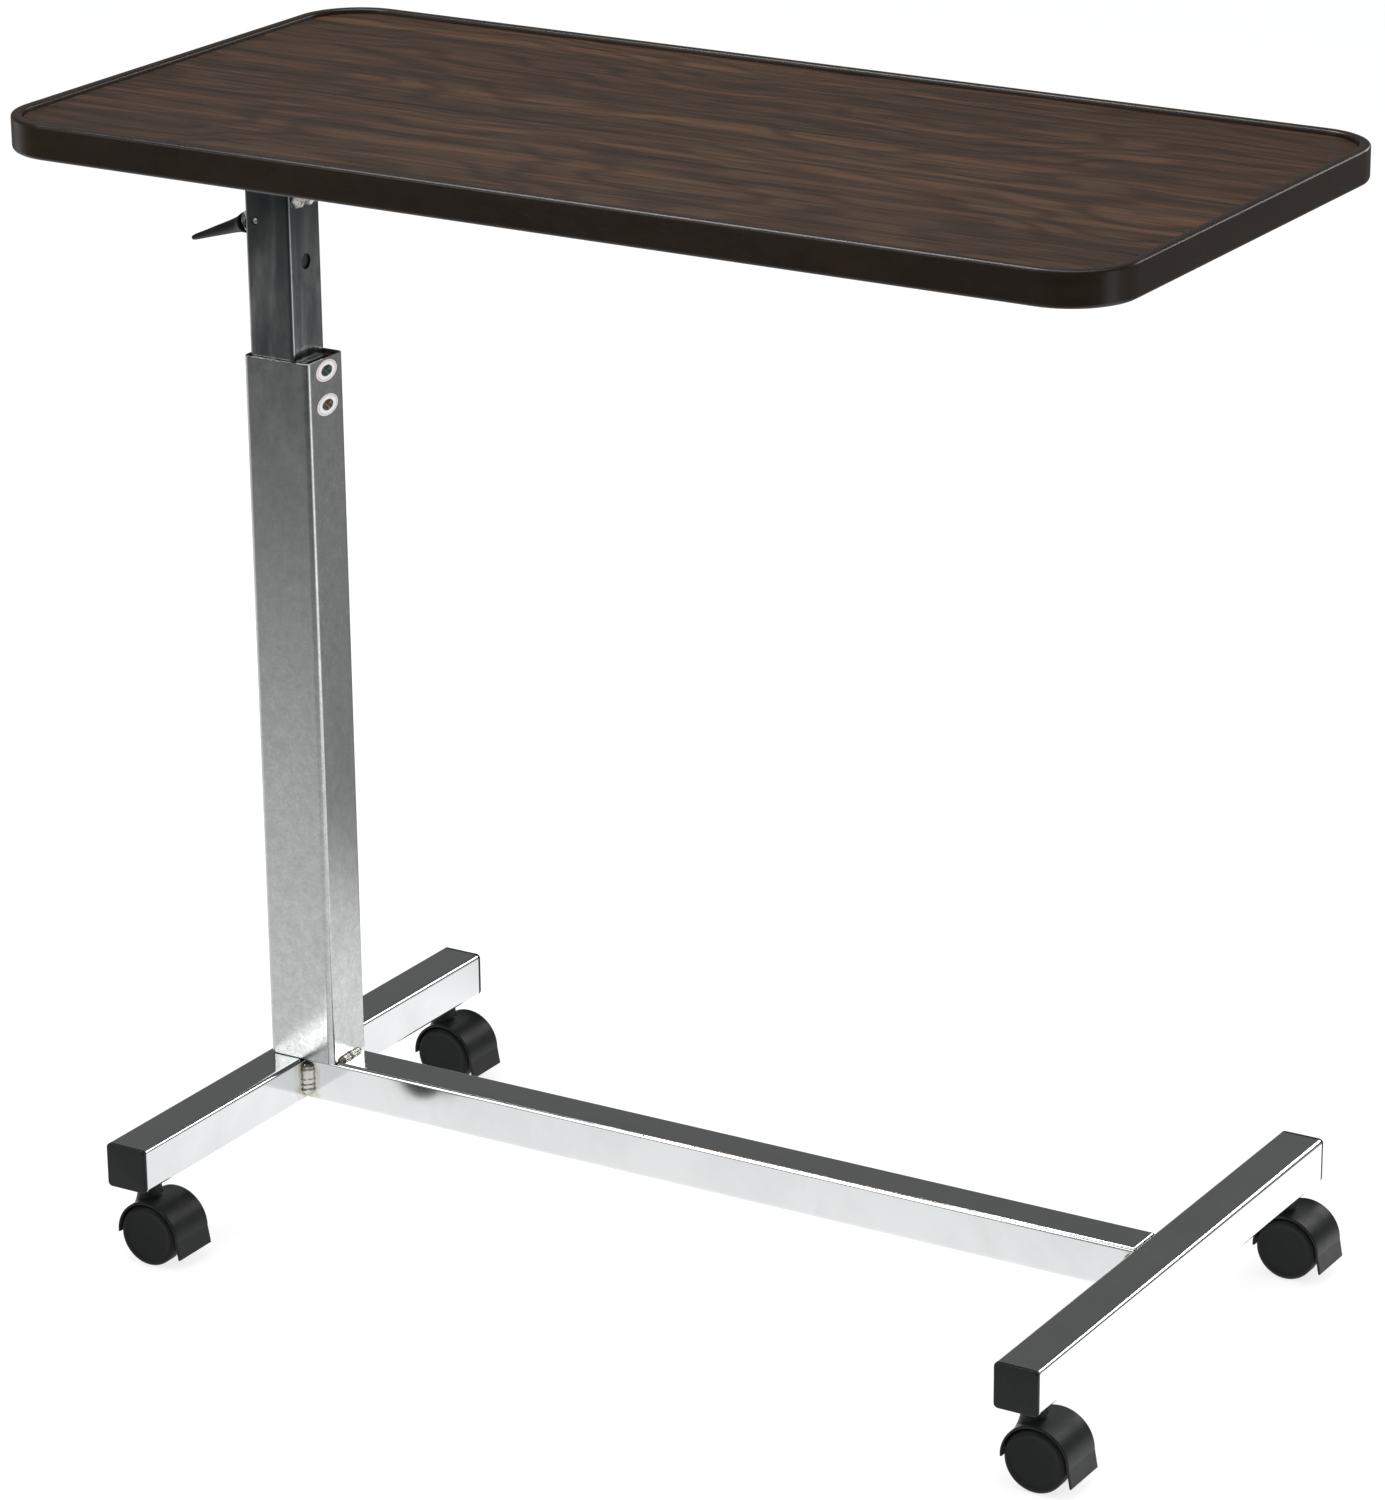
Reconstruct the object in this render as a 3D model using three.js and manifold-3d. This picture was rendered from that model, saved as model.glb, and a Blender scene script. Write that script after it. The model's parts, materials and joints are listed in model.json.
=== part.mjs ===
// Overbed table: an H-shaped chromed base on four twin-wheel casters, a telescopic column at one
// end and a laminate top cantilevered over the base. Millimetres, +Z up, origin on the floor under
// the middle of the top. +X runs from the column to the free end, -Y is the front.

import * as THREE from 'three';
import { mergeVertices } from 'three/addons/utils/BufferGeometryUtils.js';
import Module from 'manifold-3d';

// ---- Driving dimensions -------------------------------------------------------------------

const GAP = 0.3;                    // air left between pieces that touch on the real table
const EPSILON = 1;                  // how far a cutting solid runs past the face that it opens

const TOP_LENGTH = 762;
const TOP_WIDTH = 380;
const TOP_HEIGHT = 745;             // highest edge of the top above the floor, column as shown
const TOP_CORNER_RADIUS = 43;
const MOULDING_HEIGHT = 22;
const MOULDING_THICKNESS = 4;
const LIP_WIDTH = 7;                // the moulding's raised lip, seen from above
const LIP_RISE = 3;                 // the lip's height over the laminate
const LAMINATE_THICKNESS = 0.7;

const BASE_TUBE = 30;               // square section of the feet and the spine
const BASE_WALL = 1.5;
const BASE_TUBE_RADIUS = 3;
const BASE_TOP = 84;                // upper face of the base tubes above the floor
const BASE_WIDTH = 394;             // foot length with both end caps
const COLUMN_FOOT_X = -307;         // middle of the foot that carries the column
const FAR_FOOT_X = 339;             // middle of the foot under the free end
const CAP_HEAD = 3;
const CAP_INSERT = 12;

const COLUMN_LENGTH_X = 50;         // outer column section
const COLUMN_WIDTH_Y = 40;
const COLUMN_WALL = 1.2;
const COLUMN_RADIUS = 4;
const COLUMN_HEIGHT = 480;
const COLUMN_X = -292.5;

const MAST_LENGTH_X = 34;           // inner column section
const MAST_WIDTH_Y = 35;
const MAST_WALL = 1.5;
const MAST_RADIUS = 3;
const MAST_X = -297;
const MAST_TOP = 671;
const MAST_BOTTOM = 132;

const BEAM_SECTION = 38;            // square beam under the top
const BEAM_START_X = -322;
const BEAM_END_X = 250;
const STRAP_WIDTH = 25;             // cross straps between beam and board
const STRAP_HEIGHT = 13;
const STRAP_LENGTH = 300;
const STRAP_WALL = 1.2;
const STRAP_XS = [-240, 200];
const SCREW_OFFSET_Y = 110;
const SCREW_HEAD_HEIGHT = 2.5;
const SCREW_HEAD_RADIUS = 4.5;
const SCREW_SHAFT_RADIUS = 2;
const SCREW_REACH = 12;             // length of each screw inside the board

const WHEEL_RADIUS = 20.5;
const WHEEL_WIDTH = 11.5;
const WHEEL_SEGMENTS = 20;
const WHEEL_SIDE_GAP = 0.5;
const HOOD_WEB = 11;                // thickness of the hood between its two wheels
const HOOD_RADIUS = 23.2;
const HOOD_WALL = 1.6;
const HOOD_TAIL_X = 25.4;           // lower rear corner of the hood from the wheel centre
const HOOD_TAIL_Z = -12;
const CASTER_TRAIL = 9;             // wheel centre behind the swivel axis
const CASTER_Y = 172;
const AXLE_RADIUS = 3;
const STEM_RADIUS = 4;
const STEM_FLANGE = 1.3;            // thickness of the stem's flange under the foot
const STEM_FLANGE_RADIUS = 8;
const STEM_NUT_RADIUS = 6.5;
const STEM_NUT_TOP = 8;
const STEM_TOP = 16;
const STEM_BOTTOM = -24;

const LEVER_PIVOT = new THREE.Vector3(-306, 0, 652);
const LEVER_DROOP = THREE.MathUtils.degToRad(20);
const GRIP_START = 19;              // collar of the grip from the pivot, along the lever
const GRIP_LENGTH = 46.6;
const GRIP_FLATTENING = 1.5;
const ARM_THICKNESS = 8;
const PISTON_ROD_RADIUS = 4;
const PISTON_ROD_TOP = 632;
const RELEASE_PIN_TOP = 640;
const SPRING_TOP = 539;             // mouth of the gas spring's cylinder
const SPRING_RADIUS = 11;
const SPRING_WALL = 1.2;
const GLAND_HEIGHT = 9;
const PISTON_BOTTOM = 130;
const PISTON_HEIGHT = 12;
const RELEASE_PIN_BORE = 2.3;

const STOP_HOLE_RADIUS = 5;         // round hole in the mast's free side
const STOP_HOLE_Z = 625.5;
const LEVER_SLOT_Z = 650;
const LEVER_SLOT_WIDTH = 11;
const LEVER_SLOT_HEIGHT = 18;
const LEVER_PIN_RADIUS = 2;
const GLIDE_FLANGE = 12;            // nylon foot of the mast, below and inside the tube
const GLIDE_PLUG = 24;
const ROD_BLOCK_HEIGHT = 18;
const GUIDE_HEIGHT = 30;
const GUIDE_RECESS = 2;             // the guide's top face under the column's rim
const GUIDE_SLOT_LENGTH = 24;
const GUIDE_SLOT_WIDTH = 4;
const LABEL_HALF_LENGTH = 11.4;
const LABEL_HALF_HEIGHT = 6.9;
const LABEL_THICKNESS = 0.4;
const LABEL_GAP = 0.2;
const LABEL_HEIGHTS = { upper_label: 556, lower_label: 533.5 };

const baseBottom = BASE_TOP - BASE_TUBE;
const baseMiddleZ = BASE_TOP - BASE_TUBE / 2;
const columnTop = BASE_TOP + COLUMN_HEIGHT;
const mouldingBottom = TOP_HEIGHT - MOULDING_HEIGHT;
const laminateTop = TOP_HEIGHT - LIP_RISE;
const boardTop = laminateTop - LAMINATE_THICKNESS;
const boardBottom = mouldingBottom + GAP;
const strapMiddleZ = boardBottom - GAP - STRAP_HEIGHT / 2;
const beamMiddleZ = MAST_TOP + GAP + BEAM_SECTION / 2;
const hoodWidth = HOOD_WEB + 2 * (WHEEL_SIDE_GAP + WHEEL_WIDTH);

// ---- Materials ----------------------------------------------------------------------------

function finish(color, roughness, metalness) {
  return new THREE.MeshStandardMaterial({ color, roughness, metalness });
}

const chromedTube = finish('#c9cdd0', 0.12, 1.0);
const galvanisedTube = finish('#a4a9a9', 0.36, 1.0);
const polishedTube = finish('#7d8384', 0.22, 1.0);
const weldSteel = finish('#8f8c83', 0.45, 0.9);
const zincSteel = finish('#b4b6b4', 0.3, 1.0);
const blackPlastic = finish('#232626', 0.42, 0.0);
const wheelPlastic = finish('#1b1d1d', 0.5, 0.0);
const greyNylon = finish('#4b4d4e', 0.6, 0.0);
const paintedBlack = finish('#1d1e20', 0.4, 0.2);
const walnutLaminate = finish('#46352c', 0.38, 0.0);
const brownVinyl = finish('#2b1f1a', 0.33, 0.0);
const particleBoard = finish('#a58a63', 0.85, 0.0);
const labelFilm = finish('#e9ebea', 0.4, 0.0);

// ---- Solid helpers ------------------------------------------------------------------------

const wasm = await Module();
wasm.setup();

const AXIS_TURNS = {
  x: new THREE.Matrix4().makeBasis(
    new THREE.Vector3(0, 1, 0), new THREE.Vector3(0, 0, 1), new THREE.Vector3(1, 0, 0)),
  y: new THREE.Matrix4().makeBasis(
    new THREE.Vector3(0, 0, 1), new THREE.Vector3(1, 0, 0), new THREE.Vector3(0, 1, 0)),
  z: new THREE.Matrix4(),
};

function toSolid(geometry) {
  const bare = geometry.clone();
  bare.deleteAttribute('normal');
  bare.deleteAttribute('uv');
  const merged = mergeVertices(bare, 1e-4);
  return new wasm.Manifold(new wasm.Mesh({
    numProp: 3,
    vertProperties: merged.attributes.position.array,
    triVerts: new Uint32Array(merged.index.array),
  }));
}

function toGeometry(solid) {
  const mesh = solid.getMesh();
  const geometry = new THREE.BufferGeometry();
  geometry.setAttribute('position', new THREE.BufferAttribute(new Float32Array(mesh.vertProperties), 3));
  geometry.setIndex(new THREE.BufferAttribute(new Uint32Array(mesh.triVerts), 1));
  const faceted = geometry.toNonIndexed();
  faceted.computeVertexNormals();
  return faceted;
}

function join(...geometries) {
  return toGeometry(geometries.map(toSolid).reduce((whole, piece) => whole.add(piece)));
}

function cut(geometry, ...cutters) {
  const remainder = cutters.map(toSolid).reduce((whole, cutter) => whole.subtract(cutter), toSolid(geometry));
  return toGeometry(remainder);
}

// Draws a rectangle with round corners into a shape or a hole, centred on (centreX, centreY).
function roundedRectangle(path, width, height, radius, centreX = 0, centreY = 0) {
  const right = centreX + width / 2 - radius;
  const left = centreX - width / 2 + radius;
  const upper = centreY + height / 2 - radius;
  const lower = centreY - height / 2 + radius;
  path.absarc(right, upper, radius, 0, Math.PI / 2, false);
  path.absarc(left, upper, radius, Math.PI / 2, Math.PI, false);
  path.absarc(left, lower, radius, Math.PI, 1.5 * Math.PI, false);
  path.absarc(right, lower, radius, 1.5 * Math.PI, 2 * Math.PI, false);
  path.closePath();
  return path;
}

// Extrudes a shape along an axis, centred on the origin. Along x the shape lies in (Y, Z), along y
// in (Z, X) and along z in (X, Y).
function bar(axis, shape, length, options = {}) {
  const settings = { depth: length, bevelEnabled: false, curveSegments: 2, ...options };
  const geometry = new THREE.ExtrudeGeometry(shape, settings);
  return geometry.translate(0, 0, -length / 2).applyMatrix4(AXIS_TURNS[axis]);
}

function squareBar(axis, width, height, radius, length, options) {
  return bar(axis, roundedRectangle(new THREE.Shape(), width, height, radius), length, options);
}

function tube(axis, width, height, radius, wall, length) {
  const shape = roundedRectangle(new THREE.Shape(), width, height, radius);
  const bore = roundedRectangle(
    new THREE.Path(), width - 2 * wall, height - 2 * wall, Math.max(radius - wall, 0.5));
  shape.holes.push(bore);
  return bar(axis, shape, length);
}

function rod(axis, radius, length, segments = 16) {
  const geometry = new THREE.CylinderGeometry(radius, radius, length, segments);
  geometry.rotateX(Math.PI / 2);
  return geometry.applyMatrix4(AXIS_TURNS[axis]);
}

// Turns a profile of [radius, height] points about +Z.
function turned(profile, segments = 16) {
  const points = profile.map(([radius, height]) => new THREE.Vector2(radius, height));
  return new THREE.LatheGeometry(points, segments).rotateX(Math.PI / 2);
}

function place(parent, name, geometry, material, x = 0, y = 0, z = 0) {
  const mesh = new THREE.Mesh(geometry, material);
  mesh.name = name;
  mesh.position.set(x, y, z);
  parent.add(mesh);
  return mesh;
}

const table = new THREE.Group();

// ---- Base: two feet, the spine between them, end caps and weld beads -----------------------

function footTube() {
  const length = BASE_WIDTH - 2 * CAP_HEAD - 2 * GAP;
  const stemHoles = [-CASTER_Y, CASTER_Y].map((y) => (
    rod('z', STEM_RADIUS + GAP, 4 * BASE_WALL).translate(0, y, -BASE_TUBE / 2)));
  return cut(tube('y', BASE_TUBE, BASE_TUBE, BASE_TUBE_RADIUS, BASE_WALL, length), ...stemHoles);
}

function footCap(side) {
  const bevel = 1;
  const headSection = BASE_TUBE - 2 * bevel;
  const head = squareBar('y', headSection, headSection, BASE_TUBE_RADIUS - bevel, CAP_HEAD - 2 * bevel, {
    bevelEnabled: true, bevelThickness: bevel, bevelSize: bevel, bevelSegments: 1,
  });
  const insertSection = BASE_TUBE - 2 * BASE_WALL - 2 * GAP;
  const insertLength = CAP_INSERT + CAP_HEAD / 2;
  const insert = squareBar('y', insertSection, insertSection, BASE_TUBE_RADIUS - BASE_WALL, insertLength);
  insert.translate(0, -side * insertLength / 2, 0);
  return join(head, insert);
}

function spineTube() {
  const length = FAR_FOOT_X - COLUMN_FOOT_X - BASE_TUBE - 2 * GAP;
  return tube('x', BASE_TUBE, BASE_TUBE, BASE_TUBE_RADIUS, BASE_WALL, length);
}

// A fillet bead of three-sided section, filling an inside corner that points along (cornerX, cornerY).
function weldBead(length, leg, cornerX, cornerY) {
  const shape = new THREE.Shape();
  shape.moveTo(0, 0);
  shape.lineTo(cornerX * leg, 0);
  shape.quadraticCurveTo(cornerX * leg * 0.45, cornerY * leg * 0.45, 0, cornerY * leg);
  shape.closePath();
  return bar('z', shape, length, { curveSegments: 4 });
}

const feet = [
  { name: 'column', x: COLUMN_FOOT_X, inward: 1 },
  { name: 'far', x: FAR_FOOT_X, inward: -1 },
];
const sides = [
  { name: 'front', sign: -1 },
  { name: 'rear', sign: 1 },
];

for (const foot of feet) {
  place(table, `${foot.name}_foot_tube`, footTube(), chromedTube, foot.x, 0, baseMiddleZ);
  for (const side of sides) {
    const capY = side.sign * (BASE_WIDTH - CAP_HEAD) / 2;
    const capName = `${foot.name}_${side.name}_end_cap`;
    place(table, capName, footCap(side.sign), blackPlastic, foot.x, capY, baseMiddleZ);
    const bead = weldBead(BASE_TUBE - 2 * BASE_TUBE_RADIUS, 3.5, foot.inward, side.sign);
    const beadX = foot.x + foot.inward * (BASE_TUBE / 2 + GAP);
    const beadY = side.sign * (BASE_TUBE / 2 + GAP);
    place(table, `${foot.name}_foot_weld_${side.name}`, bead, weldSteel, beadX, beadY, baseMiddleZ);
  }
}
place(table, 'spine_tube', spineTube(), chromedTube, (COLUMN_FOOT_X + FAR_FOOT_X) / 2, 0, baseMiddleZ);

// ---- Casters: fixed stem, swivelling hood, axle and two wheels -----------------------------

function casterStem() {
  const nutBottom = BASE_WALL + GAP;
  const shaft = [[0, STEM_BOTTOM], [STEM_RADIUS, STEM_BOTTOM], [STEM_RADIUS, -STEM_FLANGE]];
  const flange = [[STEM_FLANGE_RADIUS, -STEM_FLANGE], [STEM_FLANGE_RADIUS, -GAP], [STEM_RADIUS, -GAP]];
  const nut = [[STEM_RADIUS, nutBottom], [STEM_NUT_RADIUS, nutBottom], [STEM_NUT_RADIUS, STEM_NUT_TOP]];
  const end = [[STEM_RADIUS, STEM_NUT_TOP], [STEM_RADIUS, STEM_TOP], [0, STEM_TOP]];
  return turned([...shaft, ...flange, ...nut, ...end], 10);
}

function casterHood() {
  const openTo = THREE.MathUtils.degToRad(180);
  const web = new THREE.Shape();
  web.moveTo(-HOOD_RADIUS + HOOD_WALL, HOOD_TAIL_Z / 2);
  web.lineTo(HOOD_TAIL_X - HOOD_WALL, HOOD_TAIL_Z);
  web.lineTo(HOOD_RADIUS - HOOD_WALL / 2, 0);
  web.absarc(0, 0, HOOD_RADIUS - HOOD_WALL / 2, 0, openTo, false);
  web.closePath();
  const fender = new THREE.Shape();
  fender.moveTo(HOOD_TAIL_X - HOOD_WALL, HOOD_TAIL_Z);
  fender.lineTo(HOOD_TAIL_X, HOOD_TAIL_Z);
  fender.lineTo(HOOD_RADIUS, 0);
  fender.absarc(0, 0, HOOD_RADIUS, 0, openTo, false);
  fender.absarc(0, 0, HOOD_RADIUS - HOOD_WALL, openTo, 0, true);
  fender.closePath();
  // The outlines are drawn in (X, Z) and extruded towards -Y.
  const upright = (shape, width) => new THREE.ExtrudeGeometry(shape, {
    depth: width, bevelEnabled: false, curveSegments: 8,
  }).translate(0, 0, -width / 2).rotateX(Math.PI / 2);
  const swivelX = -CASTER_TRAIL;
  const neckTop = baseBottom - 2 * GAP - STEM_FLANGE - WHEEL_RADIUS;
  const neckFlare = [[0, 10], [13, 10], [10.5, 18], [8.2, 24], [7.5, neckTop], [0, neckTop]];
  const neck = turned(neckFlare, 12).translate(swivelX, 0, 0);
  const body = join(upright(web, HOOD_WEB), upright(fender, hoodWidth), neck);
  const roomWidth = 2 * WHEEL_WIDTH;
  const wheelRoom = [-1, 1].map((sign) => (
    rod('y', HOOD_RADIUS - HOOD_WALL, roomWidth, 32).translate(0, sign * (HOOD_WEB + roomWidth) / 2, 0)));
  const stemBore = rod('z', STEM_RADIUS + GAP, 40, 12).translate(swivelX, 0, 29);
  const axleBore = rod('y', AXLE_RADIUS + 0.1, HOOD_WEB + 2 * EPSILON, 12);
  return cut(body, ...wheelRoom, stemBore, axleBore);
}

// The wheel's outer face is closed, so the axle runs in a blind bore. +Z is the outer side. The
// tread has flats, one of which rests on the floor at the wheel's nominal radius.
function casterWheel() {
  const half = WHEEL_WIDTH / 2;
  const profile = [
    [0, half - 0.4], [WHEEL_RADIUS - 5, half - 0.4], [WHEEL_RADIUS - 3, half], [WHEEL_RADIUS - 1, half - 1],
    [WHEEL_RADIUS, half - 3], [WHEEL_RADIUS, -half + 2], [WHEEL_RADIUS - 1, -half],
    [AXLE_RADIUS + 0.1, -half], [AXLE_RADIUS + 0.1, half - 3], [0, half - 3],
  ];
  const halfStep = Math.PI / WHEEL_SEGMENTS;
  const overFlats = 1 / Math.cos(halfStep);
  return turned(profile.reverse(), WHEEL_SEGMENTS).rotateZ(halfStep).scale(overFlats, overFlats, 1);
}

function addCaster(name, x, y) {
  const caster = new THREE.Group();
  caster.position.set(x, y, 0);
  table.add(caster);
  place(caster, `${name}_stem`, casterStem(), zincSteel, 0, 0, baseBottom);
  place(caster, `${name}_hood`, casterHood(), blackPlastic, CASTER_TRAIL, 0, WHEEL_RADIUS);
  const axleLength = HOOD_WEB + 2 * (WHEEL_SIDE_GAP + WHEEL_WIDTH - 3.5);
  place(caster, `${name}_axle`, rod('y', AXLE_RADIUS, axleLength), zincSteel, CASTER_TRAIL, 0, WHEEL_RADIUS);
  for (const side of sides) {
    const wheelY = side.sign * (HOOD_WEB / 2 + WHEEL_SIDE_GAP + WHEEL_WIDTH / 2);
    const wheelName = `${name}_wheel_${side.name}`;
    const wheel = place(caster, wheelName, casterWheel(), wheelPlastic, CASTER_TRAIL, wheelY, WHEEL_RADIUS);
    wheel.rotation.x = -side.sign * Math.PI / 2;
  }
}

for (const foot of feet) {
  for (const side of sides) {
    addCaster(`${foot.name}_${side.name}_caster`, foot.x, side.sign * CASTER_Y);
  }
}

// ---- Outer column, its guide and its two oval labels ---------------------------------------

const columnLength = COLUMN_HEIGHT - GAP;
const columnTube = tube('z', COLUMN_LENGTH_X, COLUMN_WIDTH_Y, COLUMN_RADIUS, COLUMN_WALL, columnLength);
place(table, 'outer_column', columnTube, galvanisedTube, COLUMN_X, 0, columnTop - columnLength / 2);

// A section that slides or sits inside the outer column, bored to pass the mast.
function columnFiller(height) {
  const width = COLUMN_LENGTH_X - 2 * COLUMN_WALL - 2 * GAP;
  const depth = COLUMN_WIDTH_Y - 2 * COLUMN_WALL - 2 * GAP;
  return squareBar('z', width, depth, COLUMN_RADIUS - COLUMN_WALL, height);
}

function columnGuide() {
  const through = GUIDE_HEIGHT + 2 * EPSILON;
  const mastHole = squareBar('z', MAST_LENGTH_X + 2 * GAP, MAST_WIDTH_Y + 2 * GAP, MAST_RADIUS, through)
    .translate(MAST_X - COLUMN_X, 0, 0);
  const slot = squareBar('z', GUIDE_SLOT_WIDTH, GUIDE_SLOT_LENGTH, 1.5, through)
    .translate(COLUMN_LENGTH_X / 2 - 6.4, 0, 0);
  return cut(columnFiller(GUIDE_HEIGHT), mastHole, slot);
}
const guideMiddle = columnTop - GUIDE_RECESS - GUIDE_HEIGHT / 2;
place(table, 'column_guide', columnGuide(), greyNylon, COLUMN_X, 0, guideMiddle);

const labelOutline = new THREE.Shape();
labelOutline.absellipse(0, 0, LABEL_HALF_LENGTH, LABEL_HALF_HEIGHT, 0, 2 * Math.PI, false, 0);
const labelX = COLUMN_X + COLUMN_LENGTH_X / 2 + (LABEL_THICKNESS + LABEL_GAP) / 2;
for (const [name, z] of Object.entries(LABEL_HEIGHTS)) {
  const film = bar('x', labelOutline, LABEL_THICKNESS, { curveSegments: 10 });
  place(table, name, film, labelFilm, labelX, 0, z);
}

const columnWeld = weldBead(BASE_TUBE - 2 * BASE_TUBE_RADIUS, 3, 1, 1).rotateX(Math.PI / 2);
place(table, 'column_weld', columnWeld, weldSteel, COLUMN_X + COLUMN_LENGTH_X / 2 + GAP, 0, BASE_TOP + GAP);

// ---- Gas spring inside the column ----------------------------------------------------------

const cylinderBottom = BASE_TOP + GAP;
const cylinderBore = SPRING_RADIUS - SPRING_WALL;
const pistonRadius = cylinderBore - GAP;
const rodGap = PISTON_ROD_RADIUS + GAP;
const springCylinder = turned([
  [0, cylinderBottom], [SPRING_RADIUS, cylinderBottom], [SPRING_RADIUS, SPRING_TOP],
  [cylinderBore, SPRING_TOP], [cylinderBore, cylinderBottom + 3], [0, cylinderBottom + 3],
]);
const springGland = turned([
  [rodGap, SPRING_TOP - GLAND_HEIGHT], [pistonRadius, SPRING_TOP - GLAND_HEIGHT],
  [pistonRadius, SPRING_TOP], [rodGap, SPRING_TOP], [rodGap, SPRING_TOP - GLAND_HEIGHT],
]);
const pistonTop = PISTON_BOTTOM + PISTON_HEIGHT;
const pistonRod = turned([
  [0, PISTON_BOTTOM], [pistonRadius, PISTON_BOTTOM], [pistonRadius, pistonTop],
  [PISTON_ROD_RADIUS, pistonTop], [PISTON_ROD_RADIUS, PISTON_ROD_TOP], [RELEASE_PIN_BORE, PISTON_ROD_TOP],
  [RELEASE_PIN_BORE, PISTON_ROD_TOP - 8], [0, PISTON_ROD_TOP - 8],
]);
const pinRadius = RELEASE_PIN_BORE - GAP;
const pinBottom = PISTON_ROD_TOP - 4;
const releasePin = turned([
  [0, pinBottom], [pinRadius, pinBottom], [pinRadius, RELEASE_PIN_TOP], [0, RELEASE_PIN_TOP],
], 12);
place(table, 'gas_spring_cylinder', springCylinder, paintedBlack, MAST_X);
place(table, 'gas_spring_gland', springGland, zincSteel, MAST_X);
place(table, 'gas_spring_piston_rod', pistonRod, polishedTube, MAST_X);
place(table, 'gas_spring_release_pin', releasePin, zincSteel, MAST_X);

// ---- Mast: inner column, bottom glide and the block that holds the piston rod ---------------

function mastTube() {
  const height = MAST_TOP - MAST_BOTTOM;
  const middleZ = (MAST_TOP + MAST_BOTTOM) / 2;
  const stopHole = rod('x', STOP_HOLE_RADIUS, 3 * MAST_WALL)
    .translate(MAST_LENGTH_X / 2, 0, STOP_HOLE_Z - middleZ);
  const leverSlot = squareBar('x', LEVER_SLOT_WIDTH, LEVER_SLOT_HEIGHT, 2, 3 * MAST_WALL)
    .translate(-MAST_LENGTH_X / 2, 0, LEVER_SLOT_Z - middleZ);
  const pinHole = rod('y', LEVER_PIN_RADIUS + GAP, MAST_WIDTH_Y + 2 * EPSILON)
    .translate(LEVER_PIVOT.x - MAST_X, 0, LEVER_PIVOT.z - middleZ);
  const blank = tube('z', MAST_LENGTH_X, MAST_WIDTH_Y, MAST_RADIUS, MAST_WALL, height);
  return cut(blank, stopHole, leverSlot, pinHole).translate(0, 0, middleZ);
}
place(table, 'mast_tube', mastTube(), polishedTube, MAST_X);

const mastInsideX = MAST_LENGTH_X - 2 * MAST_WALL - 2 * GAP;
const mastInsideY = MAST_WIDTH_Y - 2 * MAST_WALL - 2 * GAP;

function mastGlide() {
  const flange = columnFiller(GLIDE_FLANGE).translate(COLUMN_X - MAST_X, 0, -GLIDE_FLANGE / 2 - GAP);
  const plug = squareBar('z', mastInsideX, mastInsideY, 1.5, GLIDE_PLUG)
    .translate(0, 0, GLIDE_PLUG / 2 - 2 * GAP);
  const springHole = rod('z', SPRING_RADIUS + 1, 2 * (GLIDE_FLANGE + GLIDE_PLUG), 24);
  return cut(join(flange, plug), springHole);
}
place(table, 'mast_glide', mastGlide(), greyNylon, MAST_X, 0, MAST_BOTTOM);

const rodBlock = cut(
  squareBar('z', mastInsideX, mastInsideY, 1.5, ROD_BLOCK_HEIGHT), rod('z', rodGap, 2 * ROD_BLOCK_HEIGHT));
place(table, 'piston_rod_block', rodBlock, greyNylon, MAST_X, 0, PISTON_ROD_TOP - ROD_BLOCK_HEIGHT / 2 - 1);

// ---- Release lever: pivoted steel arm with a tapered grip ----------------------------------

const lever = new THREE.Group();
lever.position.copy(LEVER_PIVOT);
table.add(lever);

// The arm's outline is drawn in (X, Z): a strip down to the grip, a boss about the pin and a nose
// that stands over the release pin.
function leverArm() {
  const slope = Math.tan(LEVER_DROOP);
  const half = 1.6;
  const tipX = -34;
  const noseZ = RELEASE_PIN_TOP + 2 * GAP - LEVER_PIVOT.z;
  const shape = new THREE.Shape();
  shape.moveTo(tipX, tipX * slope - half);
  shape.lineTo(-6, -6 * slope - half);
  shape.lineTo(4, -5);
  shape.lineTo(6, noseZ);
  shape.lineTo(12, noseZ);
  shape.lineTo(12, -7);
  shape.lineTo(5, 4);
  shape.lineTo(-3, 4);
  shape.lineTo(-14, -14 * slope + half);
  shape.lineTo(tipX, tipX * slope + half);
  shape.closePath();
  const plate = new THREE.ExtrudeGeometry(shape, { depth: ARM_THICKNESS, bevelEnabled: false });
  plate.translate(0, 0, -ARM_THICKNESS / 2).rotateX(Math.PI / 2);
  return cut(plate, rod('y', LEVER_PIN_RADIUS + GAP, ARM_THICKNESS + 2 * EPSILON));
}

// A block as large as the arm's section with its clearance, to cut the grip and the washer.
function armRoom(depth) {
  return new THREE.BoxGeometry(4.2, ARM_THICKNESS + 0.8, depth);
}

// The grip tapers from a flared collar to a blunt tip. It is turned, then flattened slightly.
function leverGrip() {
  const collar = [[0, 0], [6.6, 0], [6.4, 1.2], [5.2, 4], [4.6, 8]];
  const taper = [[3.9, 17], [3, 28], [2.1, 39]];
  const tip = [[1.7, GRIP_LENGTH - 1.6], [0.9, GRIP_LENGTH - 0.2], [0, GRIP_LENGTH]];
  const body = turned([...collar, ...taper, ...tip]).scale(1, GRIP_FLATTENING, 1);
  return cut(body, armRoom(38));
}

// Places a piece that is turned about the lever's line, at a distance from the pivot.
function placeOnLever(name, geometry, material, distance) {
  const x = -distance * Math.cos(LEVER_DROOP);
  const z = -distance * Math.sin(LEVER_DROOP);
  const piece = place(lever, name, geometry, material, x, 0, z);
  piece.rotation.y = -(Math.PI / 2 + LEVER_DROOP);
}

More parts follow.
